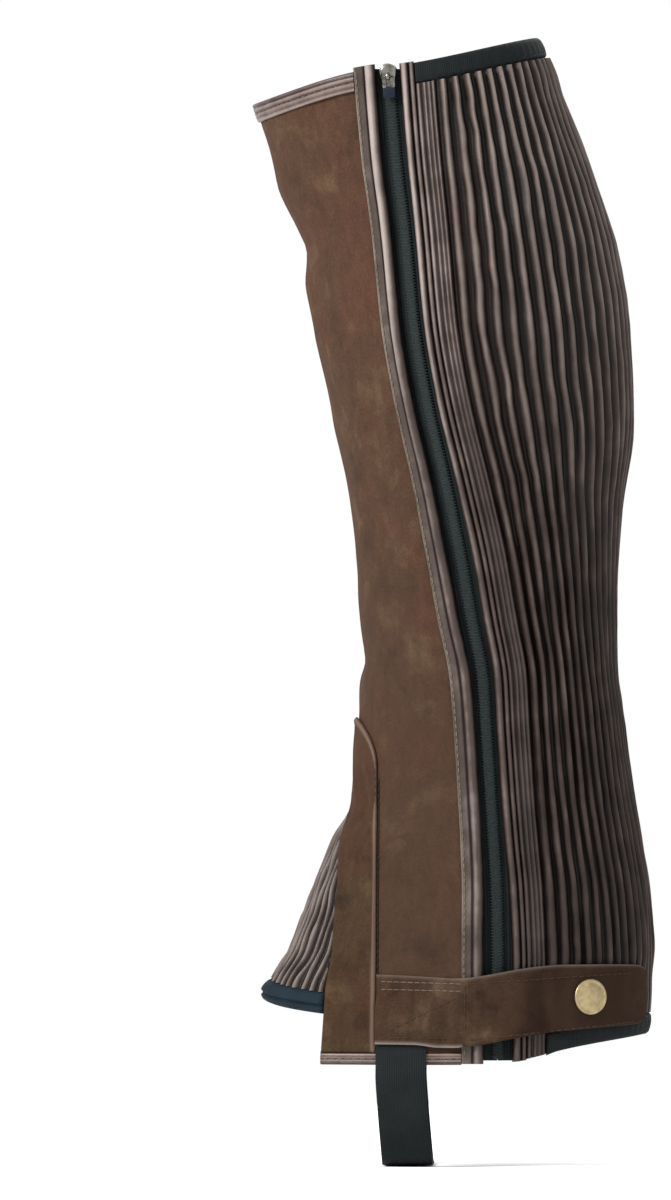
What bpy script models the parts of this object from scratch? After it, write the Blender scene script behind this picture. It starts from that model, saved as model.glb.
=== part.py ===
"""Half chap for the left lower leg, filled out as worn and open at both ends.

A suede panel goes round the shin, a gathered leather panel goes round the calf, and a zip joins
them on the outer side. A snap strap closes over the foot of the zip, a gathered insert covers the
instep, and an elastic stirrup passes under the foot.

Lengths are millimetres until a mesh is written, and heights are measured from the middle of the
calf. +X is the back of the leg, -Y its outer side. Angles go round the leg in degrees: 0 at the
shin, 90 on the outer side, 180 at the back of the calf, and below 0 on the inner side.
"""

import math
from collections import namedtuple

import bmesh
import bpy
from mathutils import Matrix, Vector

MM = 0.001
SEAM = 0.3  # clear space between pieces that touch
SUEDE = 1.6  # thickness of the shin panel
ON_PANEL = SUEDE + SEAM  # where a piece that lies on the shin panel starts
OVERLAY = 1.5  # thickness of the lower overlay and the strap
BINDING = 0.9  # thickness of a folded leather binding

# The leg form: inner face of the walls, level by level from the top.
Section = namedtuple("Section", "height front back half_width egg")
FORM = (
    Section(150, -107.5, 20.5, 55.0, 0.04),
    Section(117, -93.4, 32.6, 56.0, 0.05),
    Section(85, -82.6, 45.0, 57.5, 0.06),
    Section(55, -72.6, 54.4, 58.5, 0.06),
    Section(25, -69.0, 59.0, 58.5, 0.06),
    Section(-15, -60.6, 60.8, 56.5, 0.05),
    Section(-53, -52.7, 56.1, 52.0, 0.03),
    Section(-90, -50.0, 53.9, 47.0, 0.0),
    Section(-117, -48.6, 53.9, 44.5, 0.0),
    Section(-140, -49.6, 56.6, 44.5, 0.0),
    Section(-174, -51.2, 61.3, 46.0, 0.02),
    Section(-193, -60.2, 64.6, 47.0, 0.04),
    Section(-215, -69.0, 68.0, 48.0, 0.06),
    Section(-237, -77.6, 69.4, 48.5, 0.08),
    Section(-255, -87.6, 69.6, 48.5, 0.09),
    Section(-286, -94.0, 66.0, 48.5, 0.10),
)

# Top edge and hem, by their place along the foot's length.
Edge = namedtuple("Edge", "x height")
TOP_LINE = (
    Edge(-110, 112),
    Edge(-95, 116.5),
    Edge(-53, 129.6),
    Edge(-28, 133.4),
    Edge(23, 145),
    Edge(45, 150),
)
HEM_LINE = (
    Edge(-110, -285.6),
    Edge(0, -285.4),
    Edge(14, -284.4),
    Edge(24, -282.4),
    Edge(32, -279.6),
    Edge(67, -273.2),
)

# The zip down the outer side: its middle, and the open width between the two bindings.
ZipLevel = namedtuple("ZipLevel", "height centre gap")
ZIP_LINE = (
    ZipLevel(140, -40.0, 10.2),
    ZipLevel(94, -35.9, 10.3),
    ZipLevel(64, -32.2, 9.8),
    ZipLevel(22, -28.0, 9.6),
    ZipLevel(-7, -23.0, 9.6),
    ZipLevel(-43, -14.8, 9.8),
    ZipLevel(-72, -8.9, 10.4),
    ZipLevel(-100, -3.9, 10.0),
    ZipLevel(-123, 0.4, 9.2),
    ZipLevel(-146, 2.0, 8.6),
    ZipLevel(-169, 3.5, 8.8),
    ZipLevel(-192, 5.0, 9.4),
    ZipLevel(-215, 6.3, 10.8),
    ZipLevel(-244, 6.7, 12.2),
    ZipLevel(-286, 6.7, 12.2),
)

# Half angle of the arched cut-out in the shin panel that the instep insert fills.
ArchLevel = namedtuple("ArchLevel", "height angle")
ARCH_TOP = -174.0
ARCH = (
    ArchLevel(ARCH_TOP, 0),
    ArchLevel(-183.5, 10),
    ArchLevel(-197, 21.5),
    ArchLevel(-212, 30.5),
    ArchLevel(-228, 36),
    ArchLevel(-240, 40.5),
    ArchLevel(-251, 44.5),
    ArchLevel(-262, 46.5),
    ArchLevel(-286, 49),
)

SEAM_ANGLE = -145.0  # where the shin and calf panels meet, on the inner side of the calf
ROWS = 36  # levels down a full-height panel
LATERAL_COLUMNS = 9  # shin panel, from its middle to the zip
MEDIAL_COLUMNS = 14  # shin panel, from its middle to the inner seam
LEG_ROWS = 16  # shin panel rows beside the cut-out
ROW_SPREAD = 1.25  # rows above the cut-out lie closer together near it

# Lower overlay: a band round the cut-out, straight behind and round at the top.
OVERLAY_TOP = -140.3
OVERLAY_ROUND = -162.0  # the straight rear edge starts below this height
OVERLAY_REAR_X = -44.6
OVERLAY_HEM = -280.3
OVERLAY_ROWS = 22  # along each side of the band
OVERLAY_COLUMNS = 6
OVERLAY_TURN = 0.6  # part of the way up where the band starts to turn over the instep

# Gathered calf panel: soft ribs raised on a plain inside.
RIBS = 22
RIB_COLUMNS = 4
RIB_ROUNDING = 0.7  # below 1 gives full crests and narrow valleys
RIB_WAVER = 0.5  # degrees that a rib strays from its straight run
CALF_ROWS = 21
GATHER_INSIDE = 0.3
RIB_VALLEY = 1.4
RIB_CREST = 3.2
RIB_PRESSED = 2.3  # crest where the strap presses the ribs flat
PRESSED_BELOW = -236.0
PRESSED_FULLY = -252.0

# Gathered instep insert: ribs run down the foot and are cut off by the arch.
INSTEP_COLUMNS = 16
INSTEP_SPLIT = 4
INSTEP_ROWS = 9
INSTEP_PITCH = 4.2
INSTEP_TAPER = 0.8  # pitch at the top of the ribs, as a part of the pitch at the elastic
INSTEP_CREST = 2.8
INSTEP_START = ARCH_TOP - 3.5
INSTEP_FRONT_HEM = -258.6
INSTEP_SIDE_HEM = -264.4

ELASTIC_BAND = 9.0  # height of each elastic edge band
PIPING_WIDTH = 5.6  # rolled part of the zip's rear binding
REAR_BINDING_WIDTH = 14.0
FRONT_BINDING_WIDTH = 8.8
FRONT_BINDING_OVERHANG = 1.5  # how far it rolls past the panel's edge
BINDING_ROWS = 23

# Cross-sections of the edge pieces. Across or up runs along the leg's surface, out leaves it.
Corner = namedtuple("Corner", "along out")
FRONT_BINDING = (
    Corner(0.0, ON_PANEL),
    Corner(0.3, 2.8),
    Corner(3.4, 2.9),
    Corner(4.2, 2.5),
    Corner(5.2, 3.8),
    Corner(6.7, 4.4),
    Corner(8.0, 3.9),
    Corner(8.8, 2.4),
    Corner(8.7, 0.9),
    Corner(7.7, 0.2),
    Corner(7.6, ON_PANEL),
)
REAR_PIPING = (
    Corner(0.0, 0.3),
    Corner(0.0, 2.2),
    Corner(0.8, 3.5),
    Corner(2.0, 4.0),
    Corner(3.2, 3.3),
    Corner(3.9, 2.5),
    Corner(4.6, 3.0),
    Corner(5.6, 2.5),
    Corner(5.6, 0.3),
)
REAR_BINDING = (
    Corner(5.9, 0.3),
    Corner(5.9, 2.3),
    Corner(6.8, 2.9),
    Corner(8.0, 2.3),
    Corner(9.0, 1.9),
    Corner(12.8, 2.1),
    Corner(14.0, 1.6),
    Corner(14.0, 0.3),
)
TOP_BINDING_HEIGHT = 8.4
HEM_BINDING_HEIGHT = 4.8
INNER_LEAF_SHORTER = 1.4

TAPE_OUT = -0.5
TAPE_THICK = 0.7
TAPE_UNDER = 5.0  # how far each tape runs under its panel
TAPE_ROWS = 20
CHAIN = (
    Corner(-2.5, 0.0),
    Corner(-2.5, 0.9),
    Corner(-1.5, 1.5),
    Corner(0.0, 1.3),
    Corner(1.5, 1.5),
    Corner(2.5, 0.9),
    Corner(2.5, 0.0),
)
ZIP_FOOT = -283.6

# Slider and pull tab, in the zip's own frame: across, up the zip, and out.
SLIDER_HEIGHT = 127.6
SLIDER_HALF_WIDTH = 3.5
SLIDER_HALF_NECK = 2.7
SLIDER_HALF_LENGTH = 5.4
SLIDER_SHOULDER = 2.6
SLIDER_CHAMFER = 0.8
SLIDER_SINK = 0.4  # how far the post and the bridge run into the plates
PLATE_THICK = 1.2
PLATE_OUT = 1.9
BACK_PLATE_OUT = -2.6
POST_WIDTH = 1.8
POST_LENGTH = 4.0
POST_INSET = 0.6
TAPE_PARTING = 1.3  # half gap between the tapes beside the slider's post
BRIDGE_WIDTH = 1.4
BRIDGE_INNER = 0.95
BRIDGE_OUTER = 1.75
BRIDGE_STEPS = 8
TAB_THICK = 0.9
TAB_HALF_WIDTH = 2.5
TAB_HOLE_HALF_WIDTH = 1.2
TAB_HOLE_LENGTH = 2.5
TAB_BAR = 0.45
TAB_LENGTH = 9.2
TAB_CORNER_WIDE = 1.0
TAB_CORNER_TALL = 1.4
HINGE_OUT = PLATE_OUT + PLATE_THICK + SEAM + TAB_THICK / 2

# Snap strap: edges and the space under it, station by station round the outer side.
Strap = namedtuple("Strap", "angle top bottom lift")
STRAP = (
    Strap(60, -247.6, -276.6, 1.9),
    Strap(66, -247.8, -276.8, 1.9),
    Strap(79, -248.6, -277.0, 1.9),
    Strap(87, -249.2, -278.2, 2.6),
    Strap(91, -249.0, -278.2, 4.8),
    Strap(97, -247.8, -277.4, 5.2),
    Strap(107, -245.2, -274.6, 5.3),
    Strap(113, -244.2, -273.2, 4.6),
    Strap(120, -243.6, -271.8, 3.3),
    Strap(126, -243.5, -271.0, 4.9),
    Strap(134, -243.5, -270.2, 5.2),
    Strap(142, -243.6, -269.6, 4.6),
    Strap(152, -243.8, -269.0, 3.9),
    Strap(158, -245.0, -268.2, 3.7),
    Strap(161, -249.0, -264.5, 3.6),
)
STRAP_COLUMNS = 34
STRAP_ROWS = 4
STIRRUP_END_BELOW = 8.0  # how far under the strap's top edge the stirrup's end is tucked
STIRRUP_END_RISE = 7.0  # height over which the strap climbs onto it
STIRRUP_REAR = 84.0  # degrees, where the strap starts to come down again behind it
STIRRUP_REAR_FALL = 4.0
SNAP_X = 45.1
SNAP_HEIGHT = -257.0
SNAP_LIFT = 5.1  # space under the strap at the snap
SNAP_STEPS = 28
Turned = namedtuple("Turned", "radius out")
SNAP_CAP = (
    Turned(0.0, 0.0),
    Turned(6.6, 0.0),
    Turned(7.5, 0.4),
    Turned(7.5, 0.9),
    Turned(6.9, 1.35),
    Turned(6.0, 1.3),
    Turned(3.6, 1.85),
    Turned(0.0, 2.1),
)
SOCKET_THICK = 0.9
SNAP_SOCKET = (Turned(0.0, 0.0), Turned(5.2, 0.0), Turned(5.2, SOCKET_THICK), Turned(0.0, SOCKET_THICK))
SNAP_STUD = (Turned(0.0, 0.0), Turned(5.2, 0.0), Turned(5.2, 0.8), Turned(0.0, 0.8))

# Stirrup: an elastic band down the outer side, under the foot and up the inner side.
STIRRUP_WIDTH = 21.0
STIRRUP_THICK = 1.3
Tuck = namedtuple("Tuck", "height out")
OUTER_TUCK = (Tuck(-268.5, 2.55), Tuck(-277.6, 2.55), Tuck(-280.2, 3.8), Tuck(-286.2, 3.8))
INNER_TUCK = (Tuck(-270.0, -2.2), Tuck(-278.0, -2.2), Tuck(-286.2, -2.2))
Loop = namedtuple("Loop", "height reach shift")
STIRRUP_LOOP = (
    Loop(-292.0, 0.995, 0.0),
    Loop(-301.0, 0.96, 0.6),
    Loop(-310.0, 0.90, 1.3),
    Loop(-318.0, 0.82, 2.0),
    Loop(-323.6, 0.72, 2.5),
    Loop(-326.6, 0.58, 2.8),
    Loop(-327.6, 0.36, 3.0),
)

Finish = namedtuple("Finish", "color roughness metallic")
FINISHES = {
    "suede": Finish((0.128, 0.066, 0.036), 0.95, 0.0),
    "dark_suede": Finish((0.066, 0.034, 0.019), 0.95, 0.0),
    "leather": Finish((0.093, 0.050, 0.042), 0.45, 0.0),
    "elastic": Finish((0.018, 0.024, 0.028), 0.85, 0.0),
    "zip": Finish((0.020, 0.026, 0.026), 0.60, 0.0),
    "steel": Finish((0.62, 0.62, 0.60), 0.30, 1.0),
    "brass": Finish((0.60, 0.50, 0.28), 0.28, 1.0),
    "black_tab": Finish((0.012, 0.014, 0.020), 0.50, 0.0),
}


# Curves through the tables


class Curve:
    """Smooth curves through a table's columns, which never overshoot a row."""

    def __init__(self, table):
        self.rows = sorted(tuple(row) for row in table)
        self.slopes = [[self.slope(i, column) for column in range(1, len(self.rows[0]))]
                       for i in range(len(self.rows))]

    def slope(self, i, column):
        rows = self.rows
        steps = [(rows[k + 1][column] - rows[k][column]) / (rows[k + 1][0] - rows[k][0])
                 for k in (i - 1, i) if 0 <= k < len(rows) - 1]
        if len(steps) == 1:
            return steps[0]
        if steps[0] * steps[1] <= 0:
            return 0.0
        return 2 * steps[0] * steps[1] / (steps[0] + steps[1])

    def at(self, place):
        """The columns at a place; past the ends they keep the end rows' values."""
        rows = self.rows
        place = min(max(place, rows[0][0]), rows[-1][0])
        i = 0
        while place > rows[i + 1][0]:
            i += 1
        span = rows[i + 1][0] - rows[i][0]
        t = (place - rows[i][0]) / span
        values = []
        for start, end, start_slope, end_slope in zip(rows[i][1:], rows[i + 1][1:],
                                                      self.slopes[i], self.slopes[i + 1]):
            start_slope, end_slope = start_slope * span, end_slope * span
            bend = 2 * start + start_slope - 2 * end + end_slope
            sweep = 3 * end - 3 * start - 2 * start_slope - end_slope
            values.append(((bend * t + sweep) * t + start_slope) * t + start)
        return values


form = Curve(FORM)
top_line = Curve(TOP_LINE)
hem_line = Curve(HEM_LINE)
zip_line = Curve(ZIP_LINE)
arch = Curve(ARCH)
strap = Curve(STRAP)


def ease(t):
    """Smooth step from 0 to 1."""
    t = min(max(t, 0.0), 1.0)
    return t * t * (3 - 2 * t)


# The leg form


def form_frame(angle, height):
    """Point on the form, its level outward direction, and millimetres per degree round it."""
    front, back, half_width, egg = form.at(height)
    a = math.radians(angle)
    cosine, sine = math.cos(a), math.sin(a)
    middle, reach = (front + back) / 2, (back - front) / 2
    along_x = reach * sine
    along_y = -half_width * (cosine * (1 - egg * cosine) + egg * sine * sine)
    length = math.hypot(along_x, along_y)
    point = Vector((middle - reach * cosine, -half_width * sine * (1 - egg * cosine), height))
    return point, Vector((along_y / length, -along_x / length, 0)), math.radians(length)


def form_point(angle, height, out=0.0):
    point, outward, _ = form_frame(angle, height)
    return point + outward * out


def walk(angle, height, distance):
    """The angle reached by going a distance round the form, towards the back of the calf."""
    halfway = angle + distance / 2 / form_frame(angle, height)[2]
    return angle + distance / form_frame(halfway, height)[2]


def outer_angle(height, x, out=0.0):
    """The angle on the outer side where a point moved out lies at x."""
    front, back, _, _ = form.at(height)
    middle, reach = (front + back) / 2, (back - front) / 2

    def angle_at(place):
        return math.degrees(math.acos(min(max((middle - place) / reach, -1.0), 1.0)))

    angle = angle_at(x)
    for _ in range(3 if out else 0):
        angle = angle_at(x - out * form_frame(angle, height)[1].x)
    return angle


def meet(line, column, above=0.0):
    """Height at which a column, a function from height to angle, comes a distance above a line."""
    height = line.rows[0][1]
    for _ in range(7):
        height = line.at(form_point(column(height), height).x)[0] + above
    return height


def between(start, end, part):
    """The column a part of the way between two edge lines."""
    return lambda height: start(height) + (end(height) - start(height)) * part


# Lines that the pieces meet on


def zip_middle(height):
    return outer_angle(height, zip_line.at(height)[0])


def zip_front(height):
    """Rear side of the zip's front binding."""
    centre, gap = zip_line.at(height)
    return outer_angle(height, centre - gap / 2)


def zip_rear(height):
    """Front side of the zip's rear binding."""
    centre, gap = zip_line.at(height)
    return outer_angle(height, centre + gap / 2)


def shin_edge(height):
    """Rear edge of the shin panel, inside the front binding's roll."""
    return walk(zip_front(height), height, -FRONT_BINDING_OVERHANG)


def calf_edge(height):
    """Front edge of the gathered calf panel."""
    return walk(zip_rear(height), height, REAR_BINDING_WIDTH + SEAM)


def inner_seam(height):
    """Edge of the shin panel at the seam on the inner side of the calf."""
    return walk(SEAM_ANGLE, height, SEAM / 2)


def calf_seam(height):
    """Edge of the calf panel at the same seam."""
    return 360 + walk(SEAM_ANGLE, height, -SEAM / 2)


def beside_zip(height):
    """Front side of the zip's front binding, with a clearance."""
    return walk(zip_front(height), height, -FRONT_BINDING_WIDTH - SEAM)


def arch_angle(height, side=0.0):
    """Edge of the cut-out on the outer side, half a clearance to one side of it."""
    if height >= ARCH_TOP:
        return 0.0
    return walk(arch.at(height)[0], height, side * SEAM / 2)


def overlay_rear(height):
    """Straight rear edge of the overlay, below its round top."""
    return outer_angle(height, OVERLAY_REAR_X, ON_PANEL + OVERLAY)


# Solids


def new_material(name):
    finish = FINISHES[name]
    material = bpy.data.materials.get(name)
    if material:
        return material
    material = bpy.data.materials.new(name)
    material.use_nodes = True
    shader = material.node_tree.nodes["Principled BSDF"]
    shader.inputs["Base Color"].default_value = (*finish.color, 1)
    shader.inputs["Roughness"].default_value = finish.roughness
    shader.inputs["Metallic"].default_value = finish.metallic
    return material


def add_object(name, points, faces, finish, matrix=None):
    """A smooth-shaded closed mesh from points in millimetres."""
    build = bmesh.new()
    corners = [build.verts.new(Vector(point) * MM) for point in points]
    for face in faces:
        build.faces.new([corners[i] for i in face])
    bmesh.ops.recalc_face_normals(build, faces=build.faces)
    mesh = bpy.data.meshes.new(name)
    build.to_mesh(mesh)
    build.free()
    mesh.shade_smooth()
    mesh.set_sharp_from_angle(angle=math.radians(50))
    mesh.materials.append(new_material(finish))
    piece = bpy.data.objects.new(name, mesh)
    if matrix:
        piece.matrix_world = matrix
    bpy.context.collection.objects.link(piece)
    return piece


def wall(name, quads, spots, inner, outer, finish):
    """A wall over quads of keys. spots gives each key's angle and height, and inner and outer
    give how far each face is moved out there."""
    order = {key: i for i, key in enumerate(spots)}
    points = [form_point(*spots[key], inner(key)) for key in order]
    points += [form_point(*spots[key], outer(key)) for key in order]
    count = len(order)
    faces, rims = [], {}
    for quad in quads:
        ids = [order[key] for key in quad]
        faces.append(ids[::-1])
        faces.append([i + count for i in ids])
        for a, b in zip(ids, ids[1:] + ids[:1]):
            rims[(a, b)] = rims.get((a, b), 0) + 1
    for a, b in rims:
        if (b, a) not in rims:
            faces.append([a, b, b + count, a + count])
    return add_object(name, points, faces, finish)


def grid_quads(rows, columns):
    """Quads between neighbouring keys (row, column)."""
    return [((r, c), (r + 1, c), (r + 1, c + 1), (r, c + 1))
            for r in range(rows) for c in range(columns)]


def grid_wall(name, rows, columns, spot, inner, outer, finish):
    """A wall over a full grid, where spot gives a key's angle and height."""
    spots = {(r, c): spot(r / rows, c / columns) for r in range(rows + 1) for c in range(columns + 1)}
    return wall(name, grid_quads(rows, columns), spots, inner, outer, finish)


def ribbed_wall(name, rows, columns, split, spot, inside, outside, finish):
    """A wall with a plain inside, whose outer face has more columns than its inner one."""
    fine = columns * split
    points, inner_ids, outer_ids = [], {}, {}
    for c in range(fine + 1):
        across = c / fine
        place = spot(across)
        for r in range(rows + 1):
            down = r / rows
            angle, height = place(down)
            if c % split == 0:
                inner_ids[r, c] = len(points)
                points.append(form_point(angle, height, inside))
            outer_ids[r, c] = len(points)
            points.append(form_point(angle, height, outside(down, across, angle, height)))
    faces = []
    for r in range(rows):
        for c in range(fine):
            faces.append([outer_ids[r, c], outer_ids[r + 1, c], outer_ids[r + 1, c + 1], outer_ids[r, c + 1]])
        for c in range(0, fine, split):
            faces.append([inner_ids[r, c], inner_ids[r, c + split],
                          inner_ids[r + 1, c + split], inner_ids[r + 1, c]])
        for c in (0, fine):
            faces.append([inner_ids[r, c], inner_ids[r + 1, c], outer_ids[r + 1, c], outer_ids[r, c]])
    half = split // 2
    for r in (0, rows):
        for c in range(0, fine, split):
            near, far = inner_ids[r, c], inner_ids[r, c + split]
            faces.append([near, outer_ids[r, c + half], far])
            for k in range(split):
                base = near if k < half else far
                faces.append([base, outer_ids[r, c + k], outer_ids[r, c + k + 1]])
    return add_object(name, points, faces, finish)


def strip(name, stations, profile, place, finish):
    """A closed strip with the same cross-section at each station of a seam line."""
    points = [place(station, corner) for station in stations for corner in profile]
    size = len(profile)
    faces = []
    for s in range(len(stations) - 1):
        for k in range(size):
            near, far = s * size, (s + 1) * size
            after = (k + 1) % size
            faces.append([near + k, near + after, far + after, far + k])
    faces.append(list(range(size)))
    faces.append(list(range(len(points) - size, len(points))))
    return add_object(name, points, faces, finish)


def blend(start, end, steps):
    return [start + (end - start) * i / steps for i in range(steps + 1)]


# Shin panel and what lies on it


def shin_panel():
    """Suede from the zip round the shin to the inner seam, cut out over the instep."""
    spots, quads = {}, []
    upper = ROWS - LEG_ROWS
    halves = ((1, LATERAL_COLUMNS, shin_edge), (-1, MEDIAL_COLUMNS, inner_seam))
    for side, columns, rear_edge in halves:
        for c in range(columns + 1):
            column = between(lambda height: side * arch_angle(height, 1), rear_edge, c / columns)
            edge_top = meet(top_line, column, -BINDING - SEAM)
            foot = meet(hem_line, column, BINDING + SEAM)
            for r in range(ROWS + 1):
                key = (side, r, c) if c or r > upper else (0, r, 0)
                if r <= upper:
                    height = ARCH_TOP + (edge_top - ARCH_TOP) * (1 - r / upper) ** ROW_SPREAD
                else:
                    height = ARCH_TOP + (foot - ARCH_TOP) * (r - upper) / LEG_ROWS
                spots[key] = (column(height), height)

        for r in range(ROWS):
            for c in range(columns):
                corners = [(side, row, col) if col or row > upper else (0, row, 0)
                           for row, col in ((r, c), (r + 1, c), (r + 1, c + 1), (r, c + 1))]
                quads.append(corners if side > 0 else corners[::-1])
    wall("shin_panel", quads, spots, lambda key: 0.0, lambda key: SUEDE, "suede")


def lower_overlay():
    """Suede band round the cut-out, over the shin panel."""

    def spot(along, over):
        side = 1 if along < 0.5 else -1
        up = 1 - abs(2 * along - 1)
        near = OVERLAY_HEM + (ARCH_TOP - OVERLAY_HEM) * up
        start = arch_angle(near, 1)
        if up <= OVERLAY_TURN:
            far = OVERLAY_HEM + (OVERLAY_ROUND - OVERLAY_HEM) * up / OVERLAY_TURN
            end = overlay_rear(far)
        else:
            turn = math.pi / 2 * (up - OVERLAY_TURN) / (1 - OVERLAY_TURN)
            far = OVERLAY_ROUND + (OVERLAY_TOP - OVERLAY_ROUND) * math.sin(turn)
            end = overlay_rear(OVERLAY_ROUND) * math.cos(turn)
        return side * (start + (end - start) * over), near + (far - near) * over

    grid_wall("lower_overlay", 2 * OVERLAY_ROWS, OVERLAY_COLUMNS, spot,
              lambda key: ON_PANEL, lambda key: ON_PANEL + OVERLAY, "dark_suede")


def folded_binding(name, start, end, columns, line, up, height, finish):
    """Leather folded over a panel's edge, between two edge lines. up is 1 at a top edge, -1 at a hem."""
    inner_height = height - INNER_LEAF_SHORTER
    profile = (
        Corner(0, ON_PANEL + BINDING),
        Corner(height, ON_PANEL + BINDING),
        Corner(height, ON_PANEL),
        Corner(BINDING, ON_PANEL),
        Corner(BINDING, -SEAM),
        Corner(inner_height, -SEAM),
        Corner(inner_height, -SEAM - BINDING),
        Corner(0, -SEAM - BINDING),
    )

    def place(part, corner):
        column = between(start, end, part)
        level = meet(line, column, -up * corner.along)
        return form_point(column(level), level, corner.out)

    strip(name, blend(0.0, 1.0, columns), profile, place, finish)


def edge_bindings():
    """Smooth leather over the shin panel's top edge and its two lengths of hem."""
    folded_binding("top_binding", beside_zip, inner_seam, 24, top_line, 1, TOP_BINDING_HEIGHT, "leather")
    folded_binding("hem_binding_outer", beside_zip, lambda height: arch_angle(height, 1), 6,
                   hem_line, -1, HEM_BINDING_HEIGHT, "leather")
    folded_binding("hem_binding_inner", lambda height: -arch_angle(height, 1), inner_seam, 12,
                   hem_line, -1, HEM_BINDING_HEIGHT, "leather")


# Gathered panels and elastic edges


def rib_height(phase):
    """Rounded crest and sharp valley, 0 to 1, over one rib."""
    return abs(math.sin(math.pi * phase)) ** RIB_ROUNDING


def calf_column(across):
    """One column of the calf panel, which stops short of its elastic edges."""
    column = between(calf_edge, calf_seam, across)
    top = meet(top_line, column, -ELASTIC_BAND - SEAM)
    foot = meet(hem_line, column, ELASTIC_BAND + SEAM)

    def place(down):
        height = top + (foot - top) * down
        inside_panel = math.sin(math.pi * across) * math.sin(math.pi * down)
        return column(height) + RIB_WAVER * math.sin(9 * across + 14 * down) * inside_panel, height

    return place


def calf_panel():
    """Leather gathered into ribs from the zip's rear binding round to the inner seam."""

    def outside(down, across, angle, height):
        pressed = ease((PRESSED_BELOW - height) / (PRESSED_BELOW - PRESSED_FULLY))
        crest = RIB_CREST + (RIB_PRESSED - RIB_CREST) * pressed
        return RIB_VALLEY + (crest - RIB_VALLEY) * rib_height(across * RIBS)

    ribbed_wall("calf_panel", CALF_ROWS, RIBS, RIB_COLUMNS, calf_column, GATHER_INSIDE, outside, "leather")


def instep_hem(across):
    """Lower edge of the instep's elastic, lowest at its two ends."""
    return INSTEP_FRONT_HEM + (INSTEP_SIDE_HEM - INSTEP_FRONT_HEM) * abs(2 * across - 1)


def instep_column(across):
    """One column of the instep insert, from just under the arch's point to its elastic."""
    foot = instep_hem(across) + ELASTIC_BAND + SEAM

    def place(down):
        height = INSTEP_START + (foot - INSTEP_START) * down
        return (2 * across - 1) * arch_angle(height, -1), height

    return place


def instep_panel():
    """Leather gathered over the instep."""

    def outside(down, across, angle, height):
        round_front = angle * form_frame(angle / 2, height)[2]
        pitch = INSTEP_PITCH * (INSTEP_TAPER + (1 - INSTEP_TAPER) * down)
        return RIB_VALLEY + (INSTEP_CREST - RIB_VALLEY) * rib_height(round_front / pitch + 0.5)

    ribbed_wall("instep_panel", INSTEP_ROWS, INSTEP_COLUMNS, INSTEP_SPLIT, instep_column,
                GATHER_INSIDE, outside, "leather")


def elastic_edges():
    """Elastic bands along the calf panel's top and hem and round the instep."""
    soft = (1.9, 2.7, 2.7, 1.9)
    padded = (2.4, 4.6, 4.6, 2.4)

    def behind_piping(height):
        return walk(zip_rear(height), height, PIPING_WIDTH + SEAM)

    def top_spot(down, across):
        column = between(behind_piping, calf_seam, across)
        height = meet(top_line, column, -ELASTIC_BAND * down)
        return column(height), height

    def hem_spot(down, across):
        column = between(calf_edge, calf_seam, across)
        height = meet(hem_line, column, ELASTIC_BAND * (1 - down))
        return column(height), height

    def instep_edge(down, across):
        height = instep_hem(across) + ELASTIC_BAND * (1 - down)
        return (2 * across - 1) * arch_angle(height, -1), height

    for name, columns, spot, thick in (
        ("top_elastic", 26, top_spot, soft),
        ("hem_elastic", 20, hem_spot, soft),
        ("instep_elastic", 16, instep_edge, padded),
    ):
        grid_wall(name, 3, columns, spot, lambda key: GATHER_INSIDE, lambda key: thick[key[0]], "elastic")


# Zip


def zip_strip(name, profile, line, top_gap, foot_gap, finish):
    """A strip down the zip, from near the top edge to near the hem, across from a line."""

    def place(part, corner):
        def column(height):
            return walk(line(height), height, corner.along)

        start, end = meet(top_line, column, -top_gap), meet(hem_line, column, foot_gap)
        height = start + (end - start) * part
        return form_point(column(height), height, corner.out)

    strip(name, blend(0.0, 1.0, BINDING_ROWS), profile, place, finish)


def zip_bindings():
    def front_side(height):
        return walk(zip_front(height), height, -FRONT_BINDING_WIDTH)

    zip_strip("zip_binding_front", FRONT_BINDING, front_side, -1.6, 0.4, "leather")
    zip_strip("zip_piping_rear", REAR_PIPING, zip_rear, -0.6, 0.4, "leather")
    zip_strip("zip_binding_rear", REAR_BINDING, zip_rear, ELASTIC_BAND + SEAM, 0.8, "leather")


def zip_tapes():
    """Two woven tapes under the panels' edges, parted round the slider's post."""
    parted = SLIDER_HEIGHT - SLIDER_HALF_LENGTH - 1.0

    for name, side, panel_edge in (("zip_tape_front", -1, shin_edge), ("zip_tape_rear", 1, zip_rear)):
        def spot(down, across, side=side, panel_edge=panel_edge):
            top = meet(top_line, zip_middle, -1.0)
            height = top + (ZIP_FOOT - top) * down ** 1.1
            apart = SEAM / 2 + (TAPE_PARTING - SEAM / 2) * ease((height - parted) / 3.0)
            near = walk(zip_middle(height), height, side * apart)
            far = walk(panel_edge(height), height, side * TAPE_UNDER)
            return near + (far - near) * across, height

        grid_wall(name, TAPE_ROWS, 2, spot, lambda key: TAPE_OUT - TAPE_THICK, lambda key: TAPE_OUT, "zip")


def zip_chain():
    """The closed coil, a low ridge over the meeting edges of the tapes."""
    start = SLIDER_HEIGHT - SLIDER_HALF_LENGTH - SEAM

    def place(height, corner):
        return form_point(walk(zip_middle(height), height, corner.along), height, corner.out)

    strip("zip_chain", blend(start, ZIP_FOOT + 1.0, BINDING_ROWS), CHAIN, place, "zip")


def zip_frame(height, out):
    """Placement in metres on the zip's middle line: X across it, Y up it, Z out of the leg."""
    origin, outward, _ = form_frame(zip_middle(height), height)
    above = form_point(zip_middle(height + 4), height + 4)
    below = form_point(zip_middle(height - 4), height - 4)
    up = (above - below).normalized()
    outward = (outward - up * outward.dot(up)).normalized()
    across = up.cross(outward)
    frame = Matrix((across, up, outward)).transposed().to_4x4()
    frame.translation = (origin + outward * out) * MM
    return frame


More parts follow.
